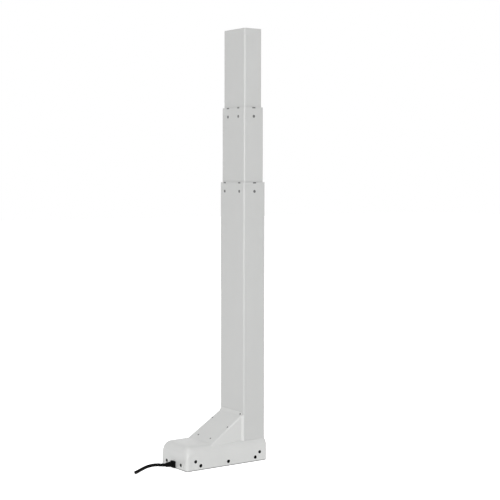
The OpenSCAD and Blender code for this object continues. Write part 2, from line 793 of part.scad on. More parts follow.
module motor_flange_outline() {
    translate([worm_y, worm_z]) {
        rounded_rect(2 * flange_half, flange_corner);
        circle(d = motor_d - 0.6);
    }
}

module gear_housing() {
    color("silver") difference() {
        union() {
            translate([0, 0, gear_floor_z]) linear_extrude(gear_split_z - gear_floor_z) gear_outline();
            rod_x(neck_d, flange_x, 0, worm_y, worm_z);
            along_x(flange_x - flange_t, flange_x) motor_flange_outline();
        }
        // the neck does not rise into the cover
        translate([-gear_x, gear_y0, gear_split_z]) cube([2 * gear_x, gear_y1 - gear_y0, 20]);
        translate([0, 0, bearing_z]) cylinder(d = bearing_od, h = worm_z - wheel_h / 2 - bearing_z);
        translate([0, 0, gear_floor_z + 1]) cylinder(d = 20, h = 10);
        wheel_room(shoulder_z - wheel_h - 1, gear_split_z + cut);
        rod_x(2 * worm_tip_r + 1, flange_x - flange_t - cut, worm_l / 2 + 1, worm_y, worm_z);
        rod_x(9, worm_l / 2, gear_x - 3, worm_y, worm_z);
        for (y = [-1, 1], z = [-1, 1])
            rod_x(3.2, flange_x - flange_t - cut, flange_x + cut, worm_y + y * motor_screw_y,
                worm_z + z * motor_screw_z);
        for (p = gear_screw_places) translate([p.x, p.y, gear_floor_z - cut])
            cylinder(d = gear_screw_d, h = gear_screw_l + 2 * cut);
        for (p = gear_screw_places) translate([p.x, p.y, gear_split_z - 6])
            cylinder(d = cover_screw_d, h = 6 + cut);
    }
}

module gear_cover() {
    color("silver") difference() {
        union() {
            translate([0, 0, gear_split_z]) linear_extrude(cover_t) gear_outline();
            translate([0, 0, gear_split_z]) cylinder(d = cover_boss_d, h = gear_top_z - gear_split_z);
        }
        translate([0, 0, gear_split_z - cut]) cylinder(d = bush_od, h = gear_top_z - gear_split_z - 2 + cut);
        translate([0, 0, gear_split_z]) cylinder(d = spindle_d + 1, h = gear_top_z);
        for (p = gear_screw_places) translate([p.x, p.y, gear_split_z - cut])
            cylinder(d = cover_screw_d + seat, h = cover_t + 2 * cut);
    }
}

module gear_cover_screws() {
    color("dimgray") for (p = gear_screw_places) translate([p.x, p.y, gear_split_z + cover_t])
        pan_screw(9, d = cover_screw_d - thread_clear, head_d = 5.5, head_h = 2);
}

// Countersunk screws that hold the gear housing down on the base plate
module gear_screws() {
    color("dimgray") for (p = gear_screw_places) translate([p.x, p.y, 0]) difference() {
        union() {
            cylinder(d1 = 2 * gear_screw_d - seat, d2 = gear_screw_d - seat, h = plate_t);
            cylinder(d = gear_screw_d - seat, h = plate_t + gear_screw_l);
        }
        // hexagon socket
        translate([0, 0, -cut]) cylinder(d = gear_screw_d / 2, h = cut + 0.9, $fn = 6);
    }
}

module lower_bearing_outer_race() {
    color("lightgray") translate([0, 0, bearing_z]) outer_race(journal_d, bearing_od, bearing_w);
}

module lower_bearing_inner_race() {
    color("lightgray") translate([0, 0, bearing_z]) inner_race(journal_d, bearing_od, bearing_w);
}

module lower_bearing_balls() {
    color("silver") translate([0, 0, bearing_z]) race_balls(journal_d, bearing_od, bearing_w, 8);
}

module spindle_bush() {
    color("goldenrod") ring(bush_od, spindle_d + 2 * run_clear, gear_split_z + 1, gear_top_z - 2);
}

// ---------- Worm, motor and sensor ----------

module worm_end_bush() {
    color("goldenrod") difference() {
        rod_x(9, worm_l / 2 + 1.4, gear_x - 3.2, worm_y, worm_z);
        rod_x(shaft_d + 2 * run_clear, 0, gear_x, worm_y, worm_z);
    }
}

module worm_front_bush() {
    color("goldenrod") difference() {
        rod_x(12, can_x1 - 5, can_x1 - 2, worm_y, worm_z);
        rod_x(shaft_d + 2 * run_clear, can_x1 - 20, 0, worm_y, worm_z);
    }
}

// Outline of the worm across its axis: two thread crests with straight-sided axial flanks
function worm_outline() = [for (s = [0:worm_starts - 1], p = [
    [-0.56, worm_pitch_d / 2 - 1.2 * worm_module], [-0.38, worm_pitch_d / 2 - 0.3 * worm_module],
    [-0.14, worm_tip_r], [0, worm_tip_r], [0.14, worm_tip_r],
    [0.38, worm_pitch_d / 2 - 0.3 * worm_module], [0.56, worm_pitch_d / 2 - 1.2 * worm_module],
    [0.8, worm_pitch_d / 2 - 1.2 * worm_module], [1, worm_pitch_d / 2 - 1.2 * worm_module],
    [1.2, worm_pitch_d / 2 - 1.2 * worm_module]])
        let (a = 180 * s + p[0] * 180 / 2) p[1] * [cos(a), sin(a)]];

module worm() {
    color("gray") translate([0, worm_y, worm_z]) rotate([0, 90, 0]) difference() {
        translate([0, 0, -worm_l / 2])
            rotate([0, 0, -180 * worm_l / worm_lead])
            linear_extrude(worm_l, twist = -360 * worm_l / worm_lead, slices = 44, segments = 1)
                polygon(worm_outline());
        translate([0, 0, -worm_l]) cylinder(d = shaft_d, h = 2 * worm_l);
    }
}

module motor_shaft() {
    color("silver") rod_x(shaft_d, cap_x0 - 3, gear_x - 3.5, worm_y, worm_z);
}

module motor_can() {
    color("dimgray") difference() {
        union() {
            rod_x(motor_d, can_x0, can_x1, worm_y, worm_z);
            along_x(can_x1 - 2, can_x1) motor_flange_outline();
        }
        rod_x(motor_d - 3, can_x0 - cut, can_x1 - 2, worm_y, worm_z);
        rod_x(8, can_x1 - 3, can_x1 + cut, worm_y, worm_z);
        for (y = [-1, 1], z = [-1, 1])
            rod_x(3.4, can_x1 - 3, can_x1 + cut, worm_y + y * motor_screw_y, worm_z + z * motor_screw_z);
    }
}

module motor_gasket() {
    color("black") difference() {
        along_x(can_x1, can_x1 + gasket_t) motor_flange_outline();
        rod_x(2 * worm_tip_r + 1, can_x1 - cut, can_x1 + 3, worm_y, worm_z);
        for (y = [-1, 1], z = [-1, 1])
            rod_x(3.4, can_x1 - 3, can_x1 + 3, worm_y + y * motor_screw_y, worm_z + z * motor_screw_z);
    }
}

module motor_screws() {
    color("silver") for (y = [-1, 1], z = [-1, 1])
        translate([can_x1 - 2, worm_y + y * motor_screw_y, worm_z + z * motor_screw_z]) rotate([0, -90, 0])
            pan_screw(5.5);
}

module motor_magnets() {
    color("dimgray") for (side = [-1, 1]) difference() {
        rod_x(motor_d - 3, can_x0 + 8, can_x1 - 12, worm_y, worm_z);
        rod_x(motor_d - 10, can_x0, can_x1, worm_y, worm_z);
        translate([can_x0, worm_y + (side > 0 ? -motor_d : -4), 0]) cube([motor_l, motor_d + 4, 60]);
    }
}

module motor_end_cap() {
    color("black") difference() {
        union() {
            rod_x(motor_d, cap_x0, can_x0, worm_y, worm_z);
            rod_x(motor_d - 3.2, can_x0 - 0.01, can_x0 + 4, worm_y, worm_z);
            for (z = [-1, 1]) rod_x(5, board_x, cap_x0 + 0.01, worm_y, worm_z + z * 12);
        }
        rod_x(shaft_d + 2 * run_clear, board_x - cut, can_x0 + 5, worm_y, worm_z);
        rod_x(motor_d - 8, cap_x0 + 4, can_x0 + 5, worm_y, worm_z);
    }
}

module armature() {
    slots = 10;
    color("sienna") difference() {
        rod_x(motor_d - 12, can_x0 + 16, can_x1 - 14, worm_y, worm_z);
        rod_x(shaft_d, can_x0, can_x1, worm_y, worm_z);
        for (i = [0:slots - 1]) translate([can_x0, worm_y, worm_z]) rotate([i * 360 / slots, 0, 0])
            translate([0, -0.8, motor_d / 2 - 10]) cube([motor_l, 1.6, 10]);
    }
}

module commutator() {
    color("peru") difference() {
        rod_x(14, can_x0 + 4.5, can_x0 + 15, worm_y, worm_z);
        rod_x(shaft_d, can_x0, can_x1, worm_y, worm_z);
    }
}

module sensor_magnet() {
    color("dimgray") difference() {
        rod_x(11, cap_x0 - 3.4, cap_x0 - 0.4, worm_y, worm_z);
        rod_x(shaft_d, cap_x0 - 4, cap_x0, worm_y, worm_z);
    }
}

module sensor_board() {
    color("darkgreen") union() {
        translate([board_x - board_t, worm_y - board_w / 2, worm_z - board_w / 2 + 1])
            cube([board_t, board_w, board_w + 1]);
        translate([board_x, worm_y - 2, worm_z - 3]) cube([1.2, 4, 3]);
        // socket for the leads
        translate([board_x - board_t - 6, worm_y - 13, worm_z - 12]) cube([6.01, 14, 7]);
    }
}

// Five leads from the gland to the board's socket
module motor_leads() {
    x0 = box_x0 + box_wall + gland_inner_l + 0.51;
    x1 = board_x - board_t - 6.01;
    color("firebrick") for (i = [-2:2]) hull() {
        translate([x0 + 0.6, i * 1.8, gland_z]) rotate([0, 90, 0]) cylinder(d = 1.4, h = 0.1, $fn = 12);
        translate([x1 - 0.1, worm_y - 6 + i * 2.2, worm_z - 8.5]) rotate([0, 90, 0])
            cylinder(d = 1.4, h = 0.1, $fn = 12);
    }
}

// ---------- Solid spindle ----------

module drive_spindle() {
    color("silver") union() {
        translate([0, 0, bearing_z - 0.5]) cylinder(d = journal_d, h = bearing_w + 0.6);
        translate([0, 0, hub_z]) cylinder(d = hub_bore_d, h = shoulder_z - hub_z);
        translate([0, 0, shoulder_z]) cylinder(d = spindle_d, h = spindle_top_z - driver_l - shoulder_z);
        translate([0, 0, spindle_top_z - driver_l - 0.01]) cylinder(d = journal_d, h = driver_l + 0.01);
    }
}

module worm_wheel() {
    root_r = wheel_pitch_d / 2 - 1.2 * worm_module;
    pitch_r = wheel_pitch_d / 2;
    tip_r = wheel_pitch_d / 2 + 0.9 * worm_module;
    helix = 360 * wheel_h / (PI * wheel_pitch_d) * worm_lead / (PI * worm_pitch_d);
    hub_d = 19;
    rim_d = 17;
    // half angles of a tooth at its root, pitch and tip circles
    half = [for (share = [0.62, 0.4, 0.14]) share * 180 / wheel_teeth];
    outline = [for (i = [0:wheel_teeth - 1]) let (a = 90 + i * 360 / wheel_teeth) each [
        root_r * [cos(a - half[0]), sin(a - half[0])], pitch_r * [cos(a - half[1]), sin(a - half[1])],
        tip_r * [cos(a - half[2]), sin(a - half[2])], tip_r * [cos(a + half[2]), sin(a + half[2])],
        pitch_r * [cos(a + half[1]), sin(a + half[1])], root_r * [cos(a + half[0]), sin(a + half[0])]]];
    color("ivory") difference() {
        union() {
            translate([0, 0, worm_z - wheel_h / 2]) rotate([0, 0, -helix / 2])
                linear_extrude(wheel_h, twist = -helix, slices = 2, segments = 1) polygon(outline);
            translate([0, 0, hub_z]) cylinder(d = hub_d, h = shoulder_z - hub_z);
        }
        translate([0, 0, hub_z - cut]) cylinder(d = hub_bore_d, h = shoulder_z - hub_z + 2 * cut);
        // lightening recess in the upper face
        ring(2 * root_r - 3, rim_d, shoulder_z - 2, shoulder_z + cut);
    }
}

// Keyed head on top of the solid spindle; it slides in the grooves of the hollow one
module spindle_driver() {
    color("ivory") difference() {
        translate([0, 0, spindle_top_z - driver_l]) union() {
            cylinder(d = hollow_bore_d - 2 * run_clear, h = driver_l);
            for (a = [0, 180]) rotate([0, 0, a])
                translate([0, -(groove_w - 2 * run_clear) / 2, 0])
                    cube([groove_r - 0.2, groove_w - 2 * run_clear, driver_l]);
        }
        translate([0, 0, spindle_top_z - driver_l - cut]) cylinder(d = journal_d, h = driver_l + 2 * cut);
    }
}

// ---------- Middle stage ----------

module middle_tube() {
    color("gainsboro") difference() {
        stage_tube(middle_size, middle_foot_z, middle_rim_z, middle_stud_y);
        foot_holes(middle_size, middle_foot_z, middle_stud_y);
    }
}

module middle_guide_pads() {
    color("dimgray") rim_pads(middle_size, middle_rim_z, middle_stud_y);
}

module middle_foot_pads() {
    color("dimgray") foot_pads(middle_size, middle_foot_z, middle_stud_y);
}

// Plug in the foot of a tube that carries its nut, with a pocket outside each nut screw
module carrier(plug, foot_z, h, bore_d, screw_y) {
    pocket_floor = 8;
    pocket_wall = 3;
    pocket_y0 = screw_y + 2.3;
    pocket_y1 = plug.y / 2 - pocket_wall;
    difference() {
        block(plug, tube_corner_r - tube_wall, foot_z, foot_z + h);
        translate([0, 0, foot_z - cut]) cylinder(d = bore_d, h = h + 2 * cut);
        for (side = [-1, 1]) translate([0, side * (pocket_y0 + pocket_y1) / 2, 0])
            block([plug.x - 4 * pocket_wall, pocket_y1 - pocket_y0], 1,
                foot_z + pocket_floor, foot_z + h + cut);
        for (side = [-1, 1]) translate([0, side * screw_y, foot_z - cut])
            cylinder(d = nut_screw_d + thread_clear, h = nut_screw_l - nut_flange_t + 1 + cut);
        children();
    }
}

// Nut with a rectangular flange below, from z = 0 up
module flanged_nut(bore_d, body_d, flange, h, screw_y) {
    difference() {
        union() {
            cylinder(d = body_d, h = h);
            block(flange, 4, 0, nut_flange_t);
        }
        translate([0, 0, -cut]) cylinder(d = bore_d, h = h + 2 * cut);
        for (side = [-1, 1]) translate([0, side * screw_y, -cut])
            cylinder(d = nut_screw_d + 0.7, h = nut_flange_t + 2 * cut);
    }
}

module nut_screw() {
    pan_screw(nut_screw_l, d = nut_screw_d, head_d = nut_screw_head_d, head_h = nut_screw_head_h);
}

module middle_carrier() {
    color("dimgray") carrier(middle_bore, middle_foot_z + nut_flange_t, middle_carrier_h - nut_flange_t,
            spindle_d + 3, lower_nut_screw_y) {
        translate([0, 0, middle_foot_z]) cylinder(d = lower_nut_body_d + seat, h = nut_h + seat);
        translate([0, 0, hollow_foot_z - 1]) cylinder(d = carrier_bearing_od, h = middle_carrier_h);
    }
}

module lower_nut() {
    color("ivory") translate([0, 0, middle_foot_z])
        flanged_nut(spindle_d + 2 * run_clear, lower_nut_body_d, lower_nut_flange, nut_h, lower_nut_screw_y);
}

module lower_nut_screws() {
    color("silver") for (side = [-1, 1]) translate([0, side * lower_nut_screw_y, middle_foot_z])
        rotate([180, 0, 0]) nut_screw();
}

module carrier_bearing_outer_race() {
    color("lightgray") translate([0, 0, hollow_foot_z])
        outer_race(hollow_journal_d, carrier_bearing_od, carrier_bearing_w);
}

module carrier_bearing_inner_race() {
    color("lightgray") translate([0, 0, hollow_foot_z])
        inner_race(hollow_journal_d, carrier_bearing_od, carrier_bearing_w);
}

module carrier_bearing_balls() {
    color("silver") translate([0, 0, hollow_foot_z])
        race_balls(hollow_journal_d, carrier_bearing_od, carrier_bearing_w, 11);
}

// Ring that holds the bearing down in the carrier
module bearing_retainer() {
    z = hollow_foot_z + carrier_bearing_w;
    color("silver") ring(carrier_bearing_od, carrier_bearing_od - 6, z, z + 3);
}

// ---------- Hollow spindle ----------

module hollow_spindle() {
    body_z = hollow_foot_z + carrier_bearing_w;
    color("silver") difference() {
        union() {
            translate([0, 0, hollow_foot_z]) cylinder(d = hollow_journal_d, h = carrier_bearing_w + 0.01);
            translate([0, 0, body_z]) cylinder(d = hollow_d, h = hollow_l - carrier_bearing_w);
        }
        translate([0, 0, hollow_foot_z - cut]) cylinder(d = hollow_bore_d, h = hollow_l + 2 * cut);
        // two grooves that turn with the driver
        for (a = [0, 180]) rotate([0, 0, a]) translate([0, -groove_w / 2, body_z + 4])
            cube([groove_r, groove_w, hollow_l]);
    }
}

// Stop ring on top of the hollow spindle
module hollow_spindle_ring() {
    top = hollow_foot_z + hollow_l;
    color("ivory") ring(hollow_d + 4, hollow_bore_d + 4.5, top, top + 4);
}

// ---------- Inner stage ----------

module inner_tube() {
    color("gainsboro") difference() {
        tube(inner_size, inner_foot_z, top_z);
        foot_holes(inner_size, inner_foot_z, middle_stud_y);
    }
}

module inner_foot_pads() {
    color("dimgray") foot_pads(inner_size, inner_foot_z, middle_stud_y);
}

module inner_carrier() {
    color("dimgray") carrier(inner_bore, inner_foot_z + nut_flange_t, inner_carrier_h - nut_flange_t,
            hollow_d + 2, upper_nut_screw_y)
        translate([0, 0, inner_foot_z]) cylinder(d = upper_nut_body_d + seat, h = nut_h + seat);
}

module upper_nut() {
    color("ivory") translate([0, 0, inner_foot_z])
        flanged_nut(hollow_d + 2 * run_clear, upper_nut_body_d, upper_nut_flange, nut_h, upper_nut_screw_y);
}

module upper_nut_screws() {
    color("silver") for (side = [-1, 1]) translate([0, side * upper_nut_screw_y, inner_foot_z])
        rotate([180, 0, 0]) nut_screw();
}

// Plate welded into the top of the inner tube, with four tapped holes
module top_plate() {
    color("silver") difference() {
        block(inner_bore, tube_corner_r - tube_wall, top_z - top_plate_t, top_z);
        for (x = [-1, 1], y = [-1, 1])
            translate([x * top_hole_x / 2, y * top_hole_y / 2, top_z - top_plate_t - cut])
                cylinder(d = top_hole_d, h = top_plate_t + 2 * cut);
    }
}

// ---------- Nodes ----------

motor_housing();
base_plate();
outer_tube();
outer_guide_pads();
side_screws();
end_screws();
gusset_screws();
tube_lip_screw();
gear_housing();
gear_cover();
gear_cover_screws();
gear_screws();
lower_bearing_outer_race();
lower_bearing_balls();
spindle_bush();
worm_front_bush();
worm_end_bush();
motor_can();
motor_magnets();
motor_end_cap();
motor_gasket();
motor_screws();
sensor_board();
motor_leads();
cord_gland();
motor_cord();
motor_shaft();
worm();
armature();
commutator();
sensor_magnet();
drive_spindle();
worm_wheel();
spindle_driver();
lower_bearing_inner_race();
middle_tube();
middle_guide_pads();
middle_foot_pads();
middle_carrier();
lower_nut();
lower_nut_screws();
carrier_bearing_outer_race();
carrier_bearing_balls();
bearing_retainer();
hollow_spindle();
carrier_bearing_inner_race();
hollow_spindle_ring();
inner_tube();
inner_foot_pads();
inner_carrier();
upper_nut();
upper_nut_screws();
top_plate();
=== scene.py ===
"""Electric lifting column: finishes, fasteners, threads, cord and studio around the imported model."""

import json
import math

import bmesh
import bpy
from bpy.props import FloatProperty, FloatVectorProperty, IntProperty, PointerProperty
from mathutils import Matrix, Vector


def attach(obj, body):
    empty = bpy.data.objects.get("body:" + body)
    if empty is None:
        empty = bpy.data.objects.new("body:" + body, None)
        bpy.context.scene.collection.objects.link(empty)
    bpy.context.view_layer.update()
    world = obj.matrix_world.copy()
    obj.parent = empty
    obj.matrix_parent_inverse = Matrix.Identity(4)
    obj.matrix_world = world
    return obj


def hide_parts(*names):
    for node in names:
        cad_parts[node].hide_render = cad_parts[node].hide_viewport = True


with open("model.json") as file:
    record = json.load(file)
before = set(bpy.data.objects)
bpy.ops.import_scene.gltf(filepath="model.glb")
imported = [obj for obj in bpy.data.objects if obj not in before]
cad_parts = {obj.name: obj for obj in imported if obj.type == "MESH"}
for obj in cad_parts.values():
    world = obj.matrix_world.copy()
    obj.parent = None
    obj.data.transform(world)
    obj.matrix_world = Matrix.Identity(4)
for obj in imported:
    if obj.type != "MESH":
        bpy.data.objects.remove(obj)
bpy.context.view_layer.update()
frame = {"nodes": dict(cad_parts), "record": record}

bl_info = {
    "name": "Lifting column finish",
    "version": (1, 0, 0),
    "blender": (4, 5, 0),
    "location": "View3D > Sidebar > Lifting column",
    "description": "Builds the finished pieces of an electric lifting column and its studio",
    "category": "Object",
}

MM = 0.001

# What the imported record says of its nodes
RECORD = frame["record"]
SLOT_OF_NODE = {part["node"]: part["material_slot"] for part in RECORD["subparts"]}
BODY_OF_NODE = {node: body for body, nodes in RECORD["behaviour"]["bodies"].items() for node in nodes}

# Tapped holes in the foot's long sides: each of the record's rows gives the two holes at its ends
BOLT_ROWS = [mount for mount in RECORD["mounts"] if mount["name"].startswith("foot_bolts")]
BOLT_CORE_R = BOLT_ROWS[0]["dims"]["hole_r_mm"] * MM
BOLT_DEPTH = 12.5 * MM
SLEEVE_GAP = 0.04 * MM
SLEEVE_WALL = 0.22 * MM
SLEEVE_STEPS = 36

# How far the ends of the middle pads' studs and hooks stay clear of the outer pads
STUD_SET_BACK = 0.04 * MM

# The foot's outer screws stand in counterbores: the head fills its own, with a wider rim over it
OUTER_HEAD_SHARE = 1.07
OUTER_HEAD_RIM = 3.2 * MM
SCREW_SINK = 1.4 * MM
RIM_GAP = 0.02 * MM

# Screw heads as shares of the radius and of the height, from the middle outwards
PAN_HEAD = [(0, 1), (0.5, 0.985), (0.78, 0.93), (0.92, 0.82), (0.985, 0.66), (1, 0.5)]
RIMMED_HEAD = [(0, 1), (0.55, 0.995), (0.86, 0.96), (0.97, 0.9), (1, 0.85)]
RECESS_TAPER = (0.55, 0.8, 1.0)
SCREW_CORE_SHARE = 0.8
SCREW_PITCH_SHARE = 0.36
SCREW_HEAD_STEPS = 28
SCREW_THREAD_STEPS = 14

# The hollow spindle is wider, so a turn of its thread has more facets
HOLLOW_EXTRA_STEPS = 8

# Edges that are rounded by more or less than the sheet metal and the mouldings
CASTING_EDGE = 0.35 * MM
CASTING_BEVEL_ANGLE = 44.0
FOOT_TRIM_EDGE = 0.2 * MM
COUNTERSUNK_EDGE = 0.1 * MM
PAD_EDGE_SHARE = 0.6

# The cord's route as in the solid model, written in millimetres and kept in metres
CORD_ROUTE = [
    (x * MM, y * MM, z * MM) for x, y, z in [
        (-175.0, 0.0, 8.0), (-179.3, 0.0, 8.3), (-183.6, 0.0, 9.0), (-187.9, 0.0, 9.7),
        (-192.2, 0.0, 10.5), (-196.4, 0.0, 10.9), (-200.7, 0.0, 11.2), (-205.1, 0.0, 11.2),
        (-209.5, 0.0, 10.9), (-213.7, 0.0, 10.4), (-218.0, 0.0, 9.6), (-222.1, -0.2, 8.6),
        (-226.4, -0.6, 7.5), (-230.5, -1.2, 6.4), (-234.6, -1.8, 5.2), (-238.8, -2.4, 4.2),
        (-243.0, -3.0, 3.3),
    ]
]

# The camera, with its turn in degrees, and the point that the lights face
CAMERA_PLACE = (-1.3744, -1.9615, 0.5481)
CAMERA_TURN = (87.072, -0.083, -35.364)
CAMERA_SHIFT_Y = -0.02
CAMERA_REACH = 50.0
SENSOR_WIDTH = 36.0
LIGHT_AIM = Vector((0, 0, 0.35))

FLOOR_HALF_SIDE = 12.0
FLOOR_GLOW = 0.75


# ---------------------------------------------------------------------------
# Sizes and colours that a user would change
# ---------------------------------------------------------------------------


def colour_prop(name, description, default):
    return FloatVectorProperty(
        name=name, description=description, default=default, min=0, max=1, size=3, subtype="COLOR"
    )


def length_prop(name, description, default):
    return FloatProperty(
        name=name, description=description, default=default, min=0, precision=5, unit="LENGTH"
    )


def share_prop(name, description, default, low=0.0, high=1.0):
    return FloatProperty(
        name=name, description=description, default=default, min=low, max=high, subtype="FACTOR"
    )


def power_prop(name, description, default):
    return FloatProperty(name=name, description=description, default=default, min=0, unit="POWER")


class PaintSettings(bpy.types.PropertyGroup):
    casting_colour: colour_prop("Casting colour", "Powder coat of the foot casting", (0.665, 0.67, 0.66))
    tube_colour: colour_prop("Tube colour", "Powder coat of the tubes", (0.575, 0.58, 0.572))
    gloss: share_prop("Roughness", "Roughness of the powder coat", 0.42)
    peel_size: length_prop("Peel size", "Size of the orange-peel waves", 1.3 * MM)
    peel_depth: length_prop("Peel depth", "Height of the orange-peel waves", 0.012 * MM)


class TrimSettings(bpy.types.PropertyGroup):
    pad_colour: colour_prop("Pad colour", "Moulded guide pads", (0.13, 0.131, 0.133))
    rubber_colour: colour_prop("Cord colour", "Cord jacket and gland", (0.0014, 0.0014, 0.0015))
    edge_round: length_prop("Edge round", "Rounding of sheet-metal and moulded edges", 0.25 * MM)


class ScrewSettings(bpy.types.PropertyGroup):
    head_colour: colour_prop("Head colour", "Blackened screw heads", (0.003, 0.003, 0.0032))
    recess_depth: share_prop(
        "Recess depth", "Depth of the cross recess over the height of the head", 0.62, 0.2, 0.9
    )
    recess_size: share_prop(
        "Recess size", "Reach of the cross recess over the radius of the head", 0.58, 0.3, 0.8
    )
    recess_width: share_prop(
        "Recess width", "Width of the recess's arms over the radius of the head", 0.24, 0.1, 0.5
    )


class ThreadSettings(bpy.types.PropertyGroup):
    lead: length_prop("Lead", "Rise of a spindle's thread in one turn", 6 * MM)
    depth: length_prop("Depth", "Depth of the trapezoidal thread", 1.2 * MM)
    starts: IntProperty(name="Starts", description="Threads side by side on a spindle", default=2, min=1)
    steps: IntProperty(name="Steps", description="Facets in one turn of a thread", default=28, min=12)
    bolt_pitch: length_prop("Bolt pitch", "Rise of the foot bolts' thread in one turn", 1.25 * MM)


class CordSettings(bpy.types.PropertyGroup):
    diameter: length_prop("Diameter", "Outside diameter of the cord", 6 * MM)
    length: length_prop("Length", "Length of the cord from the gland to its cut end", 69.3 * MM)


class StudioSettings(bpy.types.PropertyGroup):
    focal: FloatProperty(
        name="Focal length", description="Lens of the camera", default=88.97, min=1, unit="CAMERA"
    )
    key: power_prop("Key", "Power of the front light", 59.0)
    top: power_prop("Top", "Power of the overhead light", 9.0)
    back: power_prop("Back", "Power of the light behind", 36.0)
    ambient: share_prop("Ambient", "Strength of the surround", 0.47)
    floor_colour: colour_prop("Floor colour", "Colour of the floor", (0.93, 0.93, 0.93))


# The settings, by the name that the scene keeps them under
SETTINGS = {
    "column_paint": PaintSettings,
    "column_trim": TrimSettings,
    "column_screws": ScrewSettings,
    "column_threads": ThreadSettings,
    "column_cord": CordSettings,
    "column_studio": StudioSettings,
}


# ---------------------------------------------------------------------------
# Shader node groups, each built once
# ---------------------------------------------------------------------------


COLUMN_WIDTH = 190
SKIN_OUTPUTS = [
    ("Color", "NodeSocketColor"), ("Roughness", "NodeSocketFloat"), ("Height", "NodeSocketFloat"),
]
MASK_LOW, MASK_HIGH = 0.3, 0.7  # a noise mostly stays between these
DUST_COLOUR = (0.35, 0.34, 0.32, 1)

# How many times closer together a pattern of lines lies on each axis
ALONG_X = (60.0, 1.0, 1.0)
ALONG_Y = (1.0, 60.0, 1.0)
ALONG_Z = (1.0, 1.0, 60.0)


class NodeBuilder:
    """Adds and links nodes in one tree, left to right."""

    def __init__(self, tree, first_column=0):
        self.tree = tree
        self.column = first_column

    def add(self, kind, **values):
        node = self.tree.nodes.new(kind)
        node.location = (self.column * COLUMN_WIDTH, 0)
        self.column += 1
        for key, value in values.items():
            setattr(node, key, value)
        return node

    def link(self, source, target):
        self.tree.links.new(source, target)

    def put(self, value, socket):
        """Sets a socket to a number, or links it to another socket."""
        if isinstance(value, bpy.types.NodeSocket):
            self.link(value, socket)
        else:
            socket.default_value = value

    def noise(self, vector, scale, detail, roughness):
        node = self.add("ShaderNodeTexNoise")
        self.link(vector, node.inputs["Vector"])
        self.put(scale, node.inputs["Scale"])
        self.put(detail, node.inputs["Detail"])
        self.put(roughness, node.inputs["Roughness"])
        return node.outputs["Fac"]

    def maths(self, operation, a, b):
        node = self.add("ShaderNodeMath", operation=operation)
        self.put(a, node.inputs[0])
        self.put(b, node.inputs[1])
        return node.outputs[0]

    def remap(self, value, low, high, to_low, to_high):
        node = self.add("ShaderNodeMapRange")
        self.put(value, node.inputs["Value"])
        self.put(low, node.inputs["From Min"])
        self.put(high, node.inputs["From Max"])
        self.put(to_low, node.inputs["To Min"])
        self.put(to_high, node.inputs["To Max"])
        return node.outputs["Result"]

    def scaled_colour(self, colour, factor):
        node = self.add("ShaderNodeVectorMath", operation="SCALE")
        self.put(colour, node.inputs[0])
        self.put(factor, node.inputs["Scale"])
        return node.outputs["Vector"]

    def mix_colour(self, factor, a, b):
        node = self.add("ShaderNodeMix", data_type="RGBA")
        self.put(factor, node.inputs["Factor"])
        self.put(a, node.inputs[6])
        self.put(b, node.inputs[7])
        return node.outputs[2]


class SkinBuilder(NodeBuilder):
    """Builds a shader node group that puts out a colour, a roughness and a height."""

    def __init__(self, name, inputs):
        super().__init__(bpy.data.node_groups.new(name, "ShaderNodeTree"))
        for label, kind, default in inputs:
            socket = self.tree.interface.new_socket(name=label, in_out="INPUT", socket_type=kind)
            socket.default_value = default
        for label, kind in SKIN_OUTPUTS:
            self.tree.interface.new_socket(name=label, in_out="OUTPUT", socket_type=kind)
        self.given = self.add("NodeGroupInput").outputs
        self.place = self.add("ShaderNodeTexCoord").outputs["Object"]

    def swing(self, mask, amount):
        """A factor that goes from 1 less the amount to 1 plus the amount as the mask rises."""
        low = self.maths("SUBTRACT", 1.0, amount)
        high = self.maths("ADD", 1.0, amount)
        return self.remap(mask, MASK_LOW, MASK_HIGH, low, high)

    def finish(self, colour, mask, least, most, height):
        """Puts out the colour, the height, and the roughness plus least to most as the mask rises."""
        end = self.add("NodeGroupOutput").inputs
        change = self.remap(mask, MASK_LOW, MASK_HIGH, least, most)
        self.link(colour, end["Color"])
        self.link(self.maths("ADD", self.given["Roughness"], change), end["Roughness"])
        self.link(height, end["Height"])
        return self.tree


def powder_skin_group():
    """Powder coat: orange-peel height, faint clouding of the colour and of the gloss."""
    nodes = SkinBuilder("Powder coat skin", [
        ("Color", "NodeSocketColor", (0.6, 0.6, 0.6, 1)),
        ("Roughness", "NodeSocketFloat", 0.45),
        ("Peel Scale", "NodeSocketFloat", 700.0),
        ("Clouding", "NodeSocketFloat", 0.012),
    ])
    cloud = nodes.noise(nodes.place, scale=16.0, detail=2.0, roughness=0.55)
    speck = nodes.noise(nodes.place, scale=900.0, detail=1.0, roughness=0.4)
    peel = nodes.noise(nodes.place, scale=nodes.given["Peel Scale"], detail=2.5, roughness=0.45)
    grain = nodes.remap(speck, 0.25, 0.75, 0.992, 1.008)
    factor = nodes.maths("MULTIPLY", nodes.swing(cloud, nodes.given["Clouding"]), grain)
    colour = nodes.scaled_colour(nodes.given["Color"], factor)
    return nodes.finish(colour, cloud, -0.03, 0.03, peel)


def moulded_skin_group():
    """Moulded plastic and rubber: fine spark-eroded grain with a trace of pale dust in soft patches."""
    nodes = SkinBuilder("Moulded skin", [
        ("Color", "NodeSocketColor", (0.05, 0.05, 0.05, 1)),
        ("Roughness", "NodeSocketFloat", 0.55),
        ("Grain Scale", "NodeSocketFloat", 2600.0),
        ("Dust", "NodeSocketFloat", 0.03),
    ])
    grain = nodes.noise(nodes.place, scale=nodes.given["Grain Scale"], detail=3.0, roughness=0.6)
    film = nodes.noise(nodes.place, scale=120.0, detail=4.0, roughness=0.65)
    dust = nodes.maths("MULTIPLY", nodes.remap(film, 0.5, 0.75, 0.0, 1.0), nodes.given["Dust"])
    colour = nodes.mix_colour(dust, nodes.given["Color"], DUST_COLOUR)
    return nodes.finish(colour, grain, -0.06, 0.06, grain)


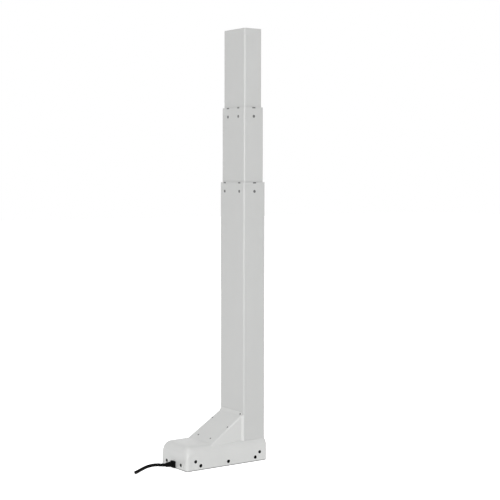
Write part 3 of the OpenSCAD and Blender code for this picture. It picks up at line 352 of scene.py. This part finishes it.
def machined_skin_group():
    """Turned, drawn or ground metal: fine parallel lines, close together along the spread axis."""
    nodes = SkinBuilder("Machined skin", [
        ("Color", "NodeSocketColor", (0.5, 0.5, 0.5, 1)),
        ("Roughness", "NodeSocketFloat", 0.3),
        ("Line Spread", "NodeSocketVector", ALONG_Z),
        ("Line Scale", "NodeSocketFloat", 60.0),
        ("Variation", "NodeSocketFloat", 0.06),
    ])
    spread = nodes.add("ShaderNodeVectorMath", operation="MULTIPLY")
    nodes.link(nodes.place, spread.inputs[0])
    nodes.link(nodes.given["Line Spread"], spread.inputs[1])
    lines = nodes.noise(
        spread.outputs["Vector"], scale=nodes.given["Line Scale"], detail=4.0, roughness=0.6
    )
    colour = nodes.scaled_colour(nodes.given["Color"], nodes.swing(lines, nodes.given["Variation"]))
    return nodes.finish(colour, lines, -0.05, 0.07, lines)


def cast_skin_group():
    """Die-cast metal: soft flow marks and a sandy skin."""
    nodes = SkinBuilder("Cast skin", [
        ("Color", "NodeSocketColor", (0.5, 0.5, 0.5, 1)),
        ("Roughness", "NodeSocketFloat", 0.5),
        ("Flow", "NodeSocketFloat", 0.12),
    ])
    flow = nodes.noise(nodes.place, scale=45.0, detail=5.0, roughness=0.6)
    sand = nodes.noise(nodes.place, scale=1500.0, detail=2.0, roughness=0.5)
    colour = nodes.scaled_colour(nodes.given["Color"], nodes.swing(flow, nodes.given["Flow"]))
    return nodes.finish(colour, flow, -0.06, 0.08, sand)


SKIN_MAKERS = {
    "powder": powder_skin_group,
    "moulded": moulded_skin_group,
    "machined": machined_skin_group,
    "cast": cast_skin_group,
}
COAT = {"Coat Weight": 0.4, "Coat Roughness": 0.2, "Specular IOR Level": 0.5}

# What is made already, by kind of skin and by finish
made_skins = {}
made_materials = {}


def skin(kind):
    if kind not in made_skins:
        made_skins[kind] = SKIN_MAKERS[kind]()
    return made_skins[kind]


def finish_material(name, kind, colour, roughness, metallic=0.0, depth=0.01 * MM, shader=None, **values):
    """A material that feeds one skin group into a Principled BSDF with a bump of the given depth."""
    material = bpy.data.materials.new(name)
    material.use_nodes = True
    material.diffuse_color = (*colour, 1)
    nodes = NodeBuilder(material.node_tree, first_column=-3)
    group = nodes.add("ShaderNodeGroup", node_tree=skin(kind))
    values.update(Color=(*colour, 1), Roughness=roughness)
    for label, value in values.items():
        nodes.put(value, group.inputs[label.replace("_", " ")])
    bump = nodes.add("ShaderNodeBump")
    nodes.put(1.0, bump.inputs["Strength"])
    nodes.put(depth, bump.inputs["Distance"])
    nodes.link(group.outputs["Height"], bump.inputs["Height"])
    bsdf = material.node_tree.nodes["Principled BSDF"]
    nodes.link(group.outputs["Color"], bsdf.inputs["Base Color"])
    nodes.link(group.outputs["Roughness"], bsdf.inputs["Roughness"])
    nodes.link(bump.outputs["Normal"], bsdf.inputs["Normal"])
    nodes.put(metallic, bsdf.inputs["Metallic"])
    for label, value in (shader or {}).items():
        nodes.put(value, bsdf.inputs[label])
    return material


def finish_values():
    """The values of each finish: one for each of the record's slots, and two of the scene's own."""
    paint = bpy.context.scene.column_paint
    trim = bpy.context.scene.column_trim
    screws = bpy.context.scene.column_screws
    powder = {
        "kind": "powder", "roughness": paint.gloss, "depth": paint.peel_depth,
        "Peel_Scale": 1 / paint.peel_size,
    }
    return {
        "housing_paint": dict(
            powder, name="casting_powder_coat", colour=paint.casting_colour, Clouding=0.014, shader=COAT),
        "tube_paint": dict(
            powder, name="tube_powder_coat", colour=paint.tube_colour, Clouding=0.01, shader=COAT),
        "top_steel": dict(
            powder, name="painted_top_plate", colour=paint.tube_colour, Clouding=0.01),
        "plate_steel": dict(
            name="base_plate_zinc", kind="machined", colour=(0.30, 0.30, 0.30), roughness=0.42,
            metallic=0.5, Line_Spread=ALONG_Y, Line_Scale=40.0, depth=0.004 * MM),
        "pad_plastic": dict(
            name="guide_pad_nylon", kind="moulded", colour=trim.pad_colour, roughness=0.5),
        "black_screw": dict(
            name="blackened_screw_steel", kind="machined", colour=screws.head_colour, roughness=0.65,
            Line_Scale=200.0, shader={"Specular IOR Level": 0.12}),
        "lip_screw": dict(
            name="blackened_lip_screw", kind="machined", colour=(0.012, 0.012, 0.012), roughness=0.55,
            Line_Scale=200.0, shader={"Specular IOR Level": 0.2}),
        # Near-black blackened steel that also paints the shade inside the tapped holes of the foot
        "thread_and_painted_shade": dict(
            name="blackened_thread_and_painted_shade", kind="machined", colour=(0.003, 0.003, 0.003), roughness=0.7,
            Line_Scale=200.0, shader={"Specular IOR Level": 0.1}),
        "grey_screw": dict(
            name="dark_zinc_screw_steel", kind="machined", colour=(0.09, 0.09, 0.09), roughness=0.42,
            metallic=0.6, Line_Scale=200.0),
        "zinc_screw": dict(
            name="zinc_screw_steel", kind="machined", colour=(0.62, 0.63, 0.64), roughness=0.28,
            metallic=1.0, Line_Scale=200.0),
        "gear_casting": dict(
            name="zinc_die_casting", kind="cast", colour=(0.52, 0.53, 0.54), roughness=0.45,
            metallic=0.85, depth=0.02 * MM),
        "bearing_steel": dict(
            name="polished_bearing_steel", kind="machined", colour=(0.66, 0.67, 0.68), roughness=0.14,
            metallic=1.0, Line_Spread=ALONG_Z, Line_Scale=120.0, Variation=0.03, depth=0.002 * MM),
        "bronze": dict(
            name="sintered_bronze", kind="cast", colour=(0.56, 0.36, 0.16), roughness=0.42,
            metallic=1.0, Flow=0.08),
        "can_steel": dict(
            name="drawn_motor_can", kind="machined", colour=(0.33, 0.34, 0.35), roughness=0.33,
            metallic=0.9, Line_Spread=ALONG_X, Line_Scale=50.0, depth=0.004 * MM),
        "ferrite": dict(
            name="ferrite_magnet", kind="cast", colour=(0.05, 0.05, 0.055), roughness=0.62,
            metallic=0.2, Flow=0.05),
        "black_plastic": dict(
            name="black_moulded_plastic", kind="moulded", colour=(0.02, 0.02, 0.021), roughness=0.48),
        "black_rubber": dict(
            name="black_cord_rubber", kind="moulded", colour=trim.rubber_colour, roughness=0.72,
            Dust=0.001, shader={"Specular IOR Level": 0.1}),
        "board_green": dict(
            name="circuit_board", kind="moulded", colour=(0.02, 0.13, 0.05), roughness=0.32,
            Dust=0.02, shader=COAT),
        "lead_insulation": dict(
            name="lead_insulation", kind="moulded", colour=(0.32, 0.02, 0.02), roughness=0.42),
        "ground_steel": dict(
            name="ground_shaft_steel", kind="machined", colour=(0.6, 0.61, 0.62), roughness=0.2,
            metallic=1.0, Line_Spread=ALONG_X, Line_Scale=90.0, depth=0.002 * MM),
        "worm_steel": dict(
            name="hobbed_worm_steel", kind="machined", colour=(0.42, 0.43, 0.44), roughness=0.26,
            metallic=1.0, Line_Spread=ALONG_X, Line_Scale=90.0, depth=0.003 * MM),
        "core_steel": dict(
            name="laminated_core", kind="machined", colour=(0.30, 0.25, 0.20), roughness=0.4,
            metallic=0.8, Line_Spread=ALONG_X, Line_Scale=30.0, Variation=0.2),
        "copper": dict(
            name="copper_segments", kind="machined", colour=(0.72, 0.32, 0.16), roughness=0.28,
            metallic=1.0, Line_Spread=ALONG_X, Line_Scale=60.0),
        "spindle_steel": dict(
            name="rolled_spindle_steel", kind="machined", colour=(0.50, 0.51, 0.52), roughness=0.27,
            metallic=1.0, Line_Spread=ALONG_Z, Line_Scale=60.0, depth=0.003 * MM),
        "nut_plastic": dict(
            name="natural_acetal", kind="moulded", colour=(0.78, 0.76, 0.68), roughness=0.38,
            shader={"Subsurface Weight": 0.05, "Subsurface Scale": 0.002}),
        "carrier_plastic": dict(
            name="glass_filled_nylon", kind="moulded", colour=(0.06, 0.062, 0.066), roughness=0.5),
    }


def material_for(finish):
    """The material of a finish, made when it is first asked for."""
    if finish not in made_materials:
        made_materials[finish] = finish_material(**finish_values()[finish])
    return made_materials[finish]


# ---------------------------------------------------------------------------
# Mesh helpers
# ---------------------------------------------------------------------------


def new_object(name, bm):
    """An object of a finished bmesh, in the scene; frees the bmesh."""
    mesh = bpy.data.meshes.new(name)
    bm.to_mesh(mesh)
    bm.free()
    made = bpy.data.objects.new(name, mesh)
    bpy.context.scene.collection.objects.link(made)
    return made


def add_piece(name, bm, finish, smooth_angle=32.0):
    """Makes a piece of a bmesh, smooth below the given angle in degrees, with its finish."""
    bmesh.ops.recalc_face_normals(bm, faces=bm.faces)
    piece = new_object(name, bm)
    mesh = piece.data
    mesh.polygons.foreach_set("use_smooth", [True] * len(mesh.polygons))
    mesh.set_sharp_from_angle(angle=math.radians(smooth_angle))
    mesh.materials.append(material_for(finish))
    return piece


def stand_for_node(piece, node):
    """Hangs a finished piece on the body of the node that it stands for, and hides the node."""
    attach(piece, BODY_OF_NODE[node])
    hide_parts(node)
    return piece


def merged_copy(node):
    """The node's shape as one welded bmesh with its flat faces joined."""
    bm = bmesh.new()
    bm.from_mesh(frame["nodes"][node].data)
    bmesh.ops.remove_doubles(bm, verts=bm.verts, dist=0.004 * MM)
    bmesh.ops.dissolve_limit(
        bm, angle_limit=math.radians(0.2), verts=bm.verts, edges=bm.edges, delimit={"NORMAL"}
    )
    return bm


def round_edges(piece, width, angle):
    """Live bevel on the edges that are sharper than the angle, with flat faces kept flat in the shading."""
    bevel = piece.modifiers.new("Rounded edges", "BEVEL")
    bevel.width = width
    bevel.segments = 2
    bevel.limit_method = "ANGLE"
    bevel.angle_limit = math.radians(angle)
    bevel.miter_outer = "MITER_ARC"
    normals = piece.modifiers.new("Flat faces", "WEIGHTED_NORMAL")
    normals.keep_sharp = True
    normals.weight = 60


def refine_node(node, name, width, angle=40.0):
    """A welded copy of a node's shape, its edges rounded, that stands for it."""
    piece = add_piece(name, merged_copy(node), SLOT_OF_NODE[node])
    round_edges(piece, width, angle)
    return stand_for_node(piece, node)


def lathe(profile, steps, closed=True):
    """A turned shape round Z from (radius, height) pairs, its poles and seam closed."""
    bm = bmesh.new()
    verts = [bm.verts.new((radius, 0, height)) for radius, height in profile]
    edges = [bm.edges.new(pair) for pair in zip(verts, verts[1:])]
    if closed:
        edges.append(bm.edges.new((verts[-1], verts[0])))
    bmesh.ops.spin(
        bm, geom=verts + edges, cent=(0, 0, 0), axis=(0, 0, 1), dvec=(0, 0, 0),
        angle=math.tau, steps=steps, use_merge=True, use_duplicate=False,
    )
    bmesh.ops.remove_doubles(bm, verts=bm.verts, dist=0.001 * MM)
    return bm


def append_bmesh(target, source, place=None):
    """Adds one bmesh to another, moved by the matrix of its place if given, and frees it."""
    if place:
        bmesh.ops.transform(source, matrix=place, verts=source.verts)
    mesh = bpy.data.meshes.new("part")
    source.to_mesh(mesh)
    source.free()
    target.from_mesh(mesh)
    bpy.data.meshes.remove(mesh)


def islands(bm):
    """The vertices of each loose solid of a bmesh."""
    left = set(bm.verts)
    while left:
        stack = [next(v for v in bm.verts if v in left)]
        solid = set(stack)
        while stack:
            for edge in stack.pop().link_edges:
                for vert in edge.verts:
                    if vert not in solid:
                        solid.add(vert)
                        stack.append(vert)
        left -= solid
        yield solid


def tip_disc(solid):
    """The largest round flat face of a solid: the tip of a screw's shank."""
    best = None
    for face in {f for v in solid for f in v.link_faces}:
        centre = face.calc_center_median()
        reach = [(v.co - centre).length for v in face.verts]
        if len(reach) > 8 and max(reach) - min(reach) < 0.03 * max(reach):
            if best is None or face.calc_area() > best.calc_area():
                best = face
    return best


def screw_seats(node):
    """Where each screw of a node sits, with Z out of the head, and its sizes."""
    bm = merged_copy(node)
    seats = []
    for solid in islands(bm):
        tip = tip_disc(solid)
        foot = tip.calc_center_median()
        axis = -tip.normal
        rises = [(v.co - foot).dot(axis) for v in solid]
        radii = [(v.co - foot - rise * axis).length for v, rise in zip(solid, rises)]
        head_r = max(radii)
        # The widest ring of the head is the one that it rests on
        rim = [rise for rise, radius in zip(rises, radii) if radius > 0.98 * head_r]
        length = sum(rim) / len(rim)
        turn = axis.to_track_quat("Z", "Y").to_matrix().to_4x4()
        seats.append({
            "place": Matrix.Translation(foot + length * axis) @ turn,
            "head_r": head_r,
            "head_h": max(rises) - length,
            "shank_r": (tip.verts[0].co - foot).length,
            "length": length,
        })
    bm.free()
    return seats


def carve(bm, cutter):
    """Takes one closed shape out of another."""
    carved = new_object("carved", bm)
    tool = new_object("cutter", cutter)
    boolean = carved.modifiers.new("Carve", "BOOLEAN")
    boolean.operation = "DIFFERENCE"
    boolean.solver = "EXACT"
    boolean.object = tool
    result = bmesh.new()
    result.from_object(carved, bpy.context.evaluated_depsgraph_get())
    for spent in (carved, tool):
        mesh = spent.data
        bpy.data.objects.remove(spent)
        bpy.data.meshes.remove(mesh)
    return result


def recess_arm(reach, width, depth, top, turn):
    """One tapered arm of a cross recess, from the top of a head down."""
    bm = bmesh.new()
    bmesh.ops.create_cube(bm, size=1.0)
    bmesh.ops.scale(bm, vec=(2 * reach, width, 2 * depth), verts=bm.verts)
    bmesh.ops.translate(bm, vec=(0, 0, top), verts=bm.verts)
    deep = [v for v in bm.verts if v.co.z < top]
    bmesh.ops.scale(bm, vec=RECESS_TAPER, verts=deep)
    bmesh.ops.rotate(bm, cent=(0, 0, 0), matrix=Matrix.Rotation(turn, 3, "Z"), verts=bm.verts)
    return bm


def helix_ridge(root, crest, pitch, low, turns, steps, start=0.0):
    """A thread ridge round Z in whole turns, closed at both ends; root and crest are (radius, width)."""
    bm = bmesh.new()
    root_r, root_w = root
    crest_r, crest_w = crest
    section = [(root_r, -root_w / 2), (crest_r, -crest_w / 2), (crest_r, crest_w / 2), (root_r, root_w / 2)]
    verts = [bm.verts.new((radius, 0, low + height)) for radius, height in section]
    edges = [bm.edges.new((verts[i], verts[i - 1])) for i in range(len(verts))]
    bmesh.ops.rotate(bm, cent=(0, 0, 0), matrix=Matrix.Rotation(start, 3, "Z"), verts=verts)
    bmesh.ops.spin(
        bm, geom=verts + edges, cent=(0, 0, 0), axis=(0, 0, 1), dvec=(0, 0, pitch / steps),
        angle=math.tau, steps=steps, use_merge=False, use_duplicate=False,
    )
    turn = bm.verts[:] + bm.edges[:] + bm.faces[:]
    for n in range(1, int(turns)):
        copy = bmesh.ops.duplicate(bm, geom=turn)["geom"]
        moved = [part for part in copy if isinstance(part, bmesh.types.BMVert)]
        bmesh.ops.translate(bm, vec=(0, 0, n * pitch), verts=moved)
    bmesh.ops.remove_doubles(bm, verts=bm.verts, dist=0.002 * MM)
    bmesh.ops.holes_fill(bm, edges=[e for e in bm.edges if e.is_boundary], sides=0)
    return bm


def cross_head_screw(head_r, head_h, shank_r, length, rim=0.0):
    """Screw with a cross recess and a rolled thread, its head resting on z = 0.

    A rim widens the part of the head that stands out of its counterbore.
    """
    settings = bpy.context.scene.column_screws
    core = shank_r * SCREW_CORE_SHARE
    if rim:
        rim_foot = SCREW_SINK + RIM_GAP
        head = [(x * rim, z * head_h) for x, z in RIMMED_HEAD] + [(rim, rim_foot), (head_r, rim_foot)]
    else:
        head = [(x * head_r, z * head_h) for x, z in PAN_HEAD]
    bm = lathe(head + [
        (head_r, 0.06 * head_h), (0.95 * head_r, 0), (shank_r, 0), (core, -0.35 * shank_r),
        (core, -length + 0.5 * shank_r), (0.45 * core, -length), (0, -length),
    ], SCREW_HEAD_STEPS, closed=False)
    for turn in (0, math.pi / 2):
        bm = carve(bm, recess_arm(
            settings.recess_size * head_r, settings.recess_width * head_r,
            settings.recess_depth * head_h, head_h, turn))
    pitch = shank_r * SCREW_PITCH_SHARE
    turns = (length - 1.4 * shank_r) / pitch
    if turns > 1:
        append_bmesh(bm, helix_ridge(
            (core * 0.97, 0.8 * pitch), (shank_r, 0.2 * pitch), pitch, -length + 0.6 * shank_r,
            turns, SCREW_THREAD_STEPS))
    mesh = bpy.data.meshes.new("screw")
    bm.to_mesh(mesh)
    bm.free()
    return mesh


def finish_screws(node, finish=None, head_share=1.0, rim=0.0):
    """Rebuilds every screw of a node where its solid sits, as one piece."""
    made = {}
    bm = bmesh.new()
    for seat in screw_seats(node):
        sizes = (seat["head_r"] * head_share, seat["head_h"], seat["shank_r"], seat["length"])
        sizes = tuple(round(size, 5) for size in sizes)
        if sizes not in made:
            made[sizes] = cross_head_screw(*sizes, rim)
        screw = bmesh.new()
        screw.from_mesh(made[sizes])
        append_bmesh(bm, screw, seat["place"])
    for mesh in made.values():
        bpy.data.meshes.remove(mesh)
    piece = add_piece(node + "_cross_head", bm, finish or SLOT_OF_NODE[node], smooth_angle=38.0)
    stand_for_node(piece, node)


def bolt_places():
    """Where the foot's tapped holes open, each once, as points of its long sides."""
    places = set()
    for row in BOLT_ROWS:
        x, y, z = row["pos_m"]
        half = row["dims"]["spacing_x_mm"] * MM / 2
        places.update((round(end, 6), y, z) for end in (x - half, x + half))
    return sorted(places, key=lambda place: (-place[0], place[1]))


# ---------------------------------------------------------------------------
# Pieces
# ---------------------------------------------------------------------------


class COLUMN_OT_casting(bpy.types.Operator):
    """Foot casting with softened edges"""

    bl_idname = "column.casting"
    bl_label = "Foot casting"

    def execute(self, context):
        refine_node("motor_housing", "foot_casting", CASTING_EDGE, CASTING_BEVEL_ANGLE)
        return {"FINISHED"}


class COLUMN_OT_bolt_holes(bpy.types.Operator):
    """Blackened thread sleeves in the tapped holes of the foot, near-black so that they also paint the
    shade deep in the holes
    """

    bl_idname = "column.bolt_holes"
    bl_label = "Bolt holes"

    def execute(self, context):
        pitch = context.scene.column_threads.bolt_pitch
        bm = bmesh.new()
        for place in bolt_places():
            outward = Matrix.Rotation(-math.copysign(math.pi / 2, place[1]), 4, "X")
            append_bmesh(bm, self.sleeve(pitch), Matrix.Translation(place) @ outward)
        piece = add_piece("bolt_hole_sleeves_and_shade", bm, "thread_and_painted_shade")
        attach(piece, "base")
        return {"FINISHED"}

    def sleeve(self, pitch):
        """A threaded sleeve with a bottom, that opens at z = 0 and reaches down; its near-black bottom is
        painted shade at the foot of the hole.
        """
        outer = BOLT_CORE_R - SLEEVE_GAP
        inner = outer - SLEEVE_WALL
        depth = BOLT_DEPTH - SLEEVE_GAP
        wall = lathe([
            (outer, -depth), (outer, -SLEEVE_GAP), (inner + 0.1 * MM, -SLEEVE_GAP),
            (inner, -0.4 * MM), (inner, -depth + 1.2 * MM), (0, -depth + 0.3 * MM), (0, -depth),
        ], SLEEVE_STEPS)
        append_bmesh(wall, helix_ridge(
            (inner + 0.05 * MM, 0.8 * pitch), (inner - 0.4 * MM, 0.15 * pitch), pitch,
            -depth + 1.6 * MM, (depth - 3 * MM) / pitch, SLEEVE_STEPS))
        return wall


class COLUMN_OT_screws(bpy.types.Operator):
    """Pan-head screws with cross recesses, and the countersunk screws under the foot"""

    bl_idname = "column.screws"
    bl_label = "Screws"

    def execute(self, context):
        for node in ("side_screws", "end_screws"):
            finish_screws(node, head_share=OUTER_HEAD_SHARE, rim=OUTER_HEAD_RIM)
        for node in (
            "gusset_screws", "gear_cover_screws", "motor_screws", "lower_nut_screws", "upper_nut_screws",
        ):
            finish_screws(node)
        finish_screws("tube_lip_screw", "lip_screw")
        refine_node("gear_screws", "gear_screws_countersunk", COUNTERSUNK_EDGE)
        return {"FINISHED"}


class COLUMN_OT_spindles(bpy.types.Operator):
    """Rolled trapezoidal threads on the solid and the hollow spindle"""

    bl_idname = "column.spindles"
    bl_label = "Spindles"

    def execute(self, context):
        threads = context.scene.column_threads
        self.thread("drive_spindle", threads, threads.steps)
        self.thread("hollow_spindle", threads, threads.steps + HOLLOW_EXTRA_STEPS)
        return {"FINISHED"}

    def thread(self, node, threads, steps):
        """Turns a spindle's outside down to the root of its thread and winds the ridges on it."""
        bm = merged_copy(node)
        crest = max(v.co.xy.length for v in bm.verts)
        outside = [v for v in bm.verts if v.co.xy.length > crest - 0.02 * MM]
        low = min(v.co.z for v in outside)
        high = max(v.co.z for v in outside)
        root = crest - threads.depth
        bmesh.ops.scale(bm, vec=(root / crest, root / crest, 1.0), verts=outside)
        pitch = threads.lead / threads.starts
        margin = 0.6 * pitch
        turns = (high - low - 2 * margin) / threads.lead
        for start in range(threads.starts):
            append_bmesh(bm, helix_ridge(
                (root - 0.08 * MM, 0.66 * pitch), (crest - 0.01 * MM, 0.36 * pitch), threads.lead,
                low + margin, turns, steps, start * math.tau / threads.starts))
        piece = add_piece(node + "_threaded", bm, SLOT_OF_NODE[node], smooth_angle=30.0)
        stand_for_node(piece, node)


class COLUMN_OT_tubes(bpy.types.Operator):
    """The three nested tubes and the plate that closes the top"""

    bl_idname = "column.tubes"
    bl_label = "Tubes"

    def execute(self, context):
        width = context.scene.column_trim.edge_round
        refine_node("outer_tube", "outer_stage_tube", width)
        refine_node("middle_tube", "middle_stage_tube", width)
        refine_node("inner_tube", "inner_stage_tube", width)
        refine_node("top_plate", "top_mounting_plate", width)
        return {"FINISHED"}


class COLUMN_OT_pads(bpy.types.Operator):
    """Moulded guide pads with their studs and rim hooks"""

    bl_idname = "column.pads"
    bl_label = "Guide pads"

    def execute(self, context):
        width = context.scene.column_trim.edge_round * PAD_EDGE_SHARE
        for node in ("outer_guide_pads", "middle_foot_pads", "inner_foot_pads"):
            refine_node(node, node + "_moulded", width)
        self.set_back_ends(refine_node("middle_guide_pads", "middle_guide_pads_moulded", width))
        return {"FINISHED"}

    def set_back_ends(self, piece):
        """Sets the ends of the studs and hooks back, so that they pass the outer pads."""
        for axis in (0, 1):
            reach = max(abs(v.co[axis]) for v in piece.data.vertices)
            for vert in piece.data.vertices:
                if abs(vert.co[axis]) > reach - STUD_SET_BACK / 4:
                    vert.co[axis] -= math.copysign(STUD_SET_BACK, vert.co[axis])


class COLUMN_OT_cord(bpy.types.Operator):
    """Motor cord, from its gland to its cut end"""

    bl_idname = "column.cord"
    bl_label = "Cord"

    def execute(self, context):
        cord = context.scene.column_cord
        curve = bpy.data.curves.new("motor_cord_jacket", "CURVE")
        curve.dimensions = "3D"
        curve.resolution_u = 6
        curve.bevel_depth = cord.diameter / 2
        curve.bevel_resolution = 6
        curve.use_fill_caps = True
        spline = curve.splines.new("BEZIER")
        spline.bezier_points.add(len(CORD_ROUTE) - 1)
        for point, place in zip(spline.bezier_points, CORD_ROUTE):
            point.co = place
            point.handle_left_type = point.handle_right_type = "AUTO"
        piece = bpy.data.objects.new("motor_cord_jacket", curve)
        context.scene.collection.objects.link(piece)
        curve.materials.append(material_for(SLOT_OF_NODE["motor_cord"]))
        stand_for_node(piece, "motor_cord")
        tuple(CORD_ROUTE[0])
        return {"FINISHED"}


class COLUMN_OT_gland(bpy.types.Operator):
    """Ribbed strain relief where the cord enters the foot"""

    bl_idname = "column.gland"
    bl_label = "Gland"

    def execute(self, context):
        refine_node("cord_gland", "cord_gland_rubber", FOOT_TRIM_EDGE)
        return {"FINISHED"}


class COLUMN_OT_base_plate(bpy.types.Operator):
    """Folded steel plate under the foot"""

    bl_idname = "column.base_plate"
    bl_label = "Base plate"

    def execute(self, context):
        refine_node("base_plate", "foot_base_plate", FOOT_TRIM_EDGE)
        return {"FINISHED"}


class COLUMN_OT_inside(bpy.types.Operator):
    """Finishes of the pieces that keep their solid shape"""

    bl_idname = "column.inside"
    bl_label = "Inner works"

    def execute(self, context):
        for node, piece in frame["nodes"].items():
            if piece.hide_render:
                continue
            material = material_for(SLOT_OF_NODE[node])
            for slot in piece.material_slots:
                slot.material = material
        return {"FINISHED"}


class COLUMN_OT_studio(bpy.types.Operator):
    """Camera, soft lights and a plain pale floor"""

    bl_idname = "column.studio"
    bl_label = "Studio"

    def execute(self, context):
        scene = context.scene
        studio = scene.column_studio
        scene.view_settings.view_transform = "Standard"
        camera = bpy.data.cameras.new("Camera")
        camera.lens = studio.focal
        camera.sensor_width = SENSOR_WIDTH
        camera.shift_y = CAMERA_SHIFT_Y
        camera.clip_end = CAMERA_REACH
        view = bpy.data.objects.new("Camera", camera)
        view.location = CAMERA_PLACE
        view.rotation_euler = [math.radians(angle) for angle in CAMERA_TURN]
        scene.collection.objects.link(view)
        scene.camera = view
        self.add_light("Front light", studio.key, place=(-2.2, -2.45, 0.9), size=(2.8, 1.8))
        self.add_light("Top light", studio.top, place=(-0.3, -0.5, 2.9), size=(2.2, 2.2))
        back = self.add_light("Back light", studio.back, place=(2.3, 2.4, 1.0), size=(2.2, 2.2))
        back.visible_glossy = False
        self.add_floor(studio)
        self.add_surround(scene, studio)
        return {"FINISHED"}

    def add_light(self, name, power, place, size):
        """A soft rectangular light that faces the object."""
        data = bpy.data.lights.new(name, "AREA")
        data.shape = "RECTANGLE"
        data.size, data.size_y = size
        data.energy = power
        light = bpy.data.objects.new(name, data)
        light.location = place
        aim = LIGHT_AIM - Vector(place)
        light.rotation_euler = aim.to_track_quat("-Z", "Y").to_euler()
        bpy.context.scene.collection.objects.link(light)
        return light

    def add_floor(self, studio):
        """A pale floor that takes shadows and glows for the camera and for reflections."""
        bm = bmesh.new()
        bmesh.ops.create_grid(bm, x_segments=1, y_segments=1, size=FLOOR_HALF_SIDE)
        floor = new_object("Floor", bm)
        material = bpy.data.materials.new("studio_floor")
        material.use_nodes = True
        material.node_tree.nodes.clear()
        nodes = NodeBuilder(material.node_tree)
        rays = nodes.add("ShaderNodeLightPath").outputs
        seen = nodes.maths("MAXIMUM", rays["Is Camera Ray"], rays["Is Glossy Ray"])
        glow = nodes.add("ShaderNodeEmission")
        nodes.put((1, 1, 1, 1), glow.inputs["Color"])
        nodes.link(nodes.maths("MULTIPLY", seen, FLOOR_GLOW), glow.inputs["Strength"])
        diffuse = nodes.add("ShaderNodeBsdfDiffuse")
        nodes.put((*studio.floor_colour, 1), diffuse.inputs["Color"])
        total = nodes.add("ShaderNodeAddShader")
        nodes.link(diffuse.outputs[0], total.inputs[0])
        nodes.link(glow.outputs[0], total.inputs[1])
        output = nodes.add("ShaderNodeOutputMaterial")
        nodes.link(total.outputs[0], output.inputs["Surface"])
        floor.data.materials.append(material)

    def add_surround(self, scene, studio):
        """A white surround for the camera, for reflections and through glass; dimmer as a light."""
        scene.world = bpy.data.worlds.new("Surround")
        scene.world.use_nodes = True
        nodes = NodeBuilder(scene.world.node_tree, first_column=-4)
        rays = nodes.add("ShaderNodeLightPath").outputs
        seen = nodes.maths("MAXIMUM", rays["Is Camera Ray"], rays["Is Transmission Ray"])
        seen = nodes.maths("MAXIMUM", seen, rays["Is Glossy Ray"])
        background = scene.world.node_tree.nodes["Background"]
        nodes.put((1, 1, 1, 1), background.inputs["Color"])
        strength = nodes.remap(seen, 0.0, 1.0, studio.ambient, 1.0)
        nodes.link(strength, background.inputs["Strength"])


class COLUMN_PT_panel(bpy.types.Panel):
    """Lists the settings and the building steps"""

    bl_label = "Lifting column"
    bl_idname = "COLUMN_PT_panel"
    bl_space_type = "VIEW_3D"
    bl_region_type = "UI"
    bl_category = "Lifting column"

    def draw(self, context):
        for operator in OPERATORS:
            self.layout.operator(operator.bl_idname)
        for name, group in SETTINGS.items():
            box = self.layout.box()
            settings = getattr(context.scene, name)
            for prop in group.__annotations__:
                box.prop(settings, prop)


# The building steps, in the order in which main() calls them
OPERATORS = [
    COLUMN_OT_studio,
    COLUMN_OT_gland,
    COLUMN_OT_cord,
    COLUMN_OT_casting,
    COLUMN_OT_bolt_holes,
    COLUMN_OT_base_plate,
    COLUMN_OT_screws,
    COLUMN_OT_spindles,
    COLUMN_OT_tubes,
    COLUMN_OT_pads,
    COLUMN_OT_inside,
]


def register():
    for group in SETTINGS.values():
        bpy.utils.register_class(group)
    for name, group in SETTINGS.items():
        setattr(bpy.types.Scene, name, PointerProperty(type=group))
    for operator in OPERATORS:
        bpy.utils.register_class(operator)
    bpy.utils.register_class(COLUMN_PT_panel)


def unregister():
    bpy.utils.unregister_class(COLUMN_PT_panel)
    for operator in reversed(OPERATORS):
        bpy.utils.unregister_class(operator)
    for name, group in reversed(SETTINGS.items()):
        delattr(bpy.types.Scene, name)
        bpy.utils.unregister_class(group)


def main():
    register()
    for operator in OPERATORS:
        family, _, step = operator.bl_idname.partition(".")
        getattr(getattr(bpy.ops, family), step)()


if __name__ == "__main__":
    main()
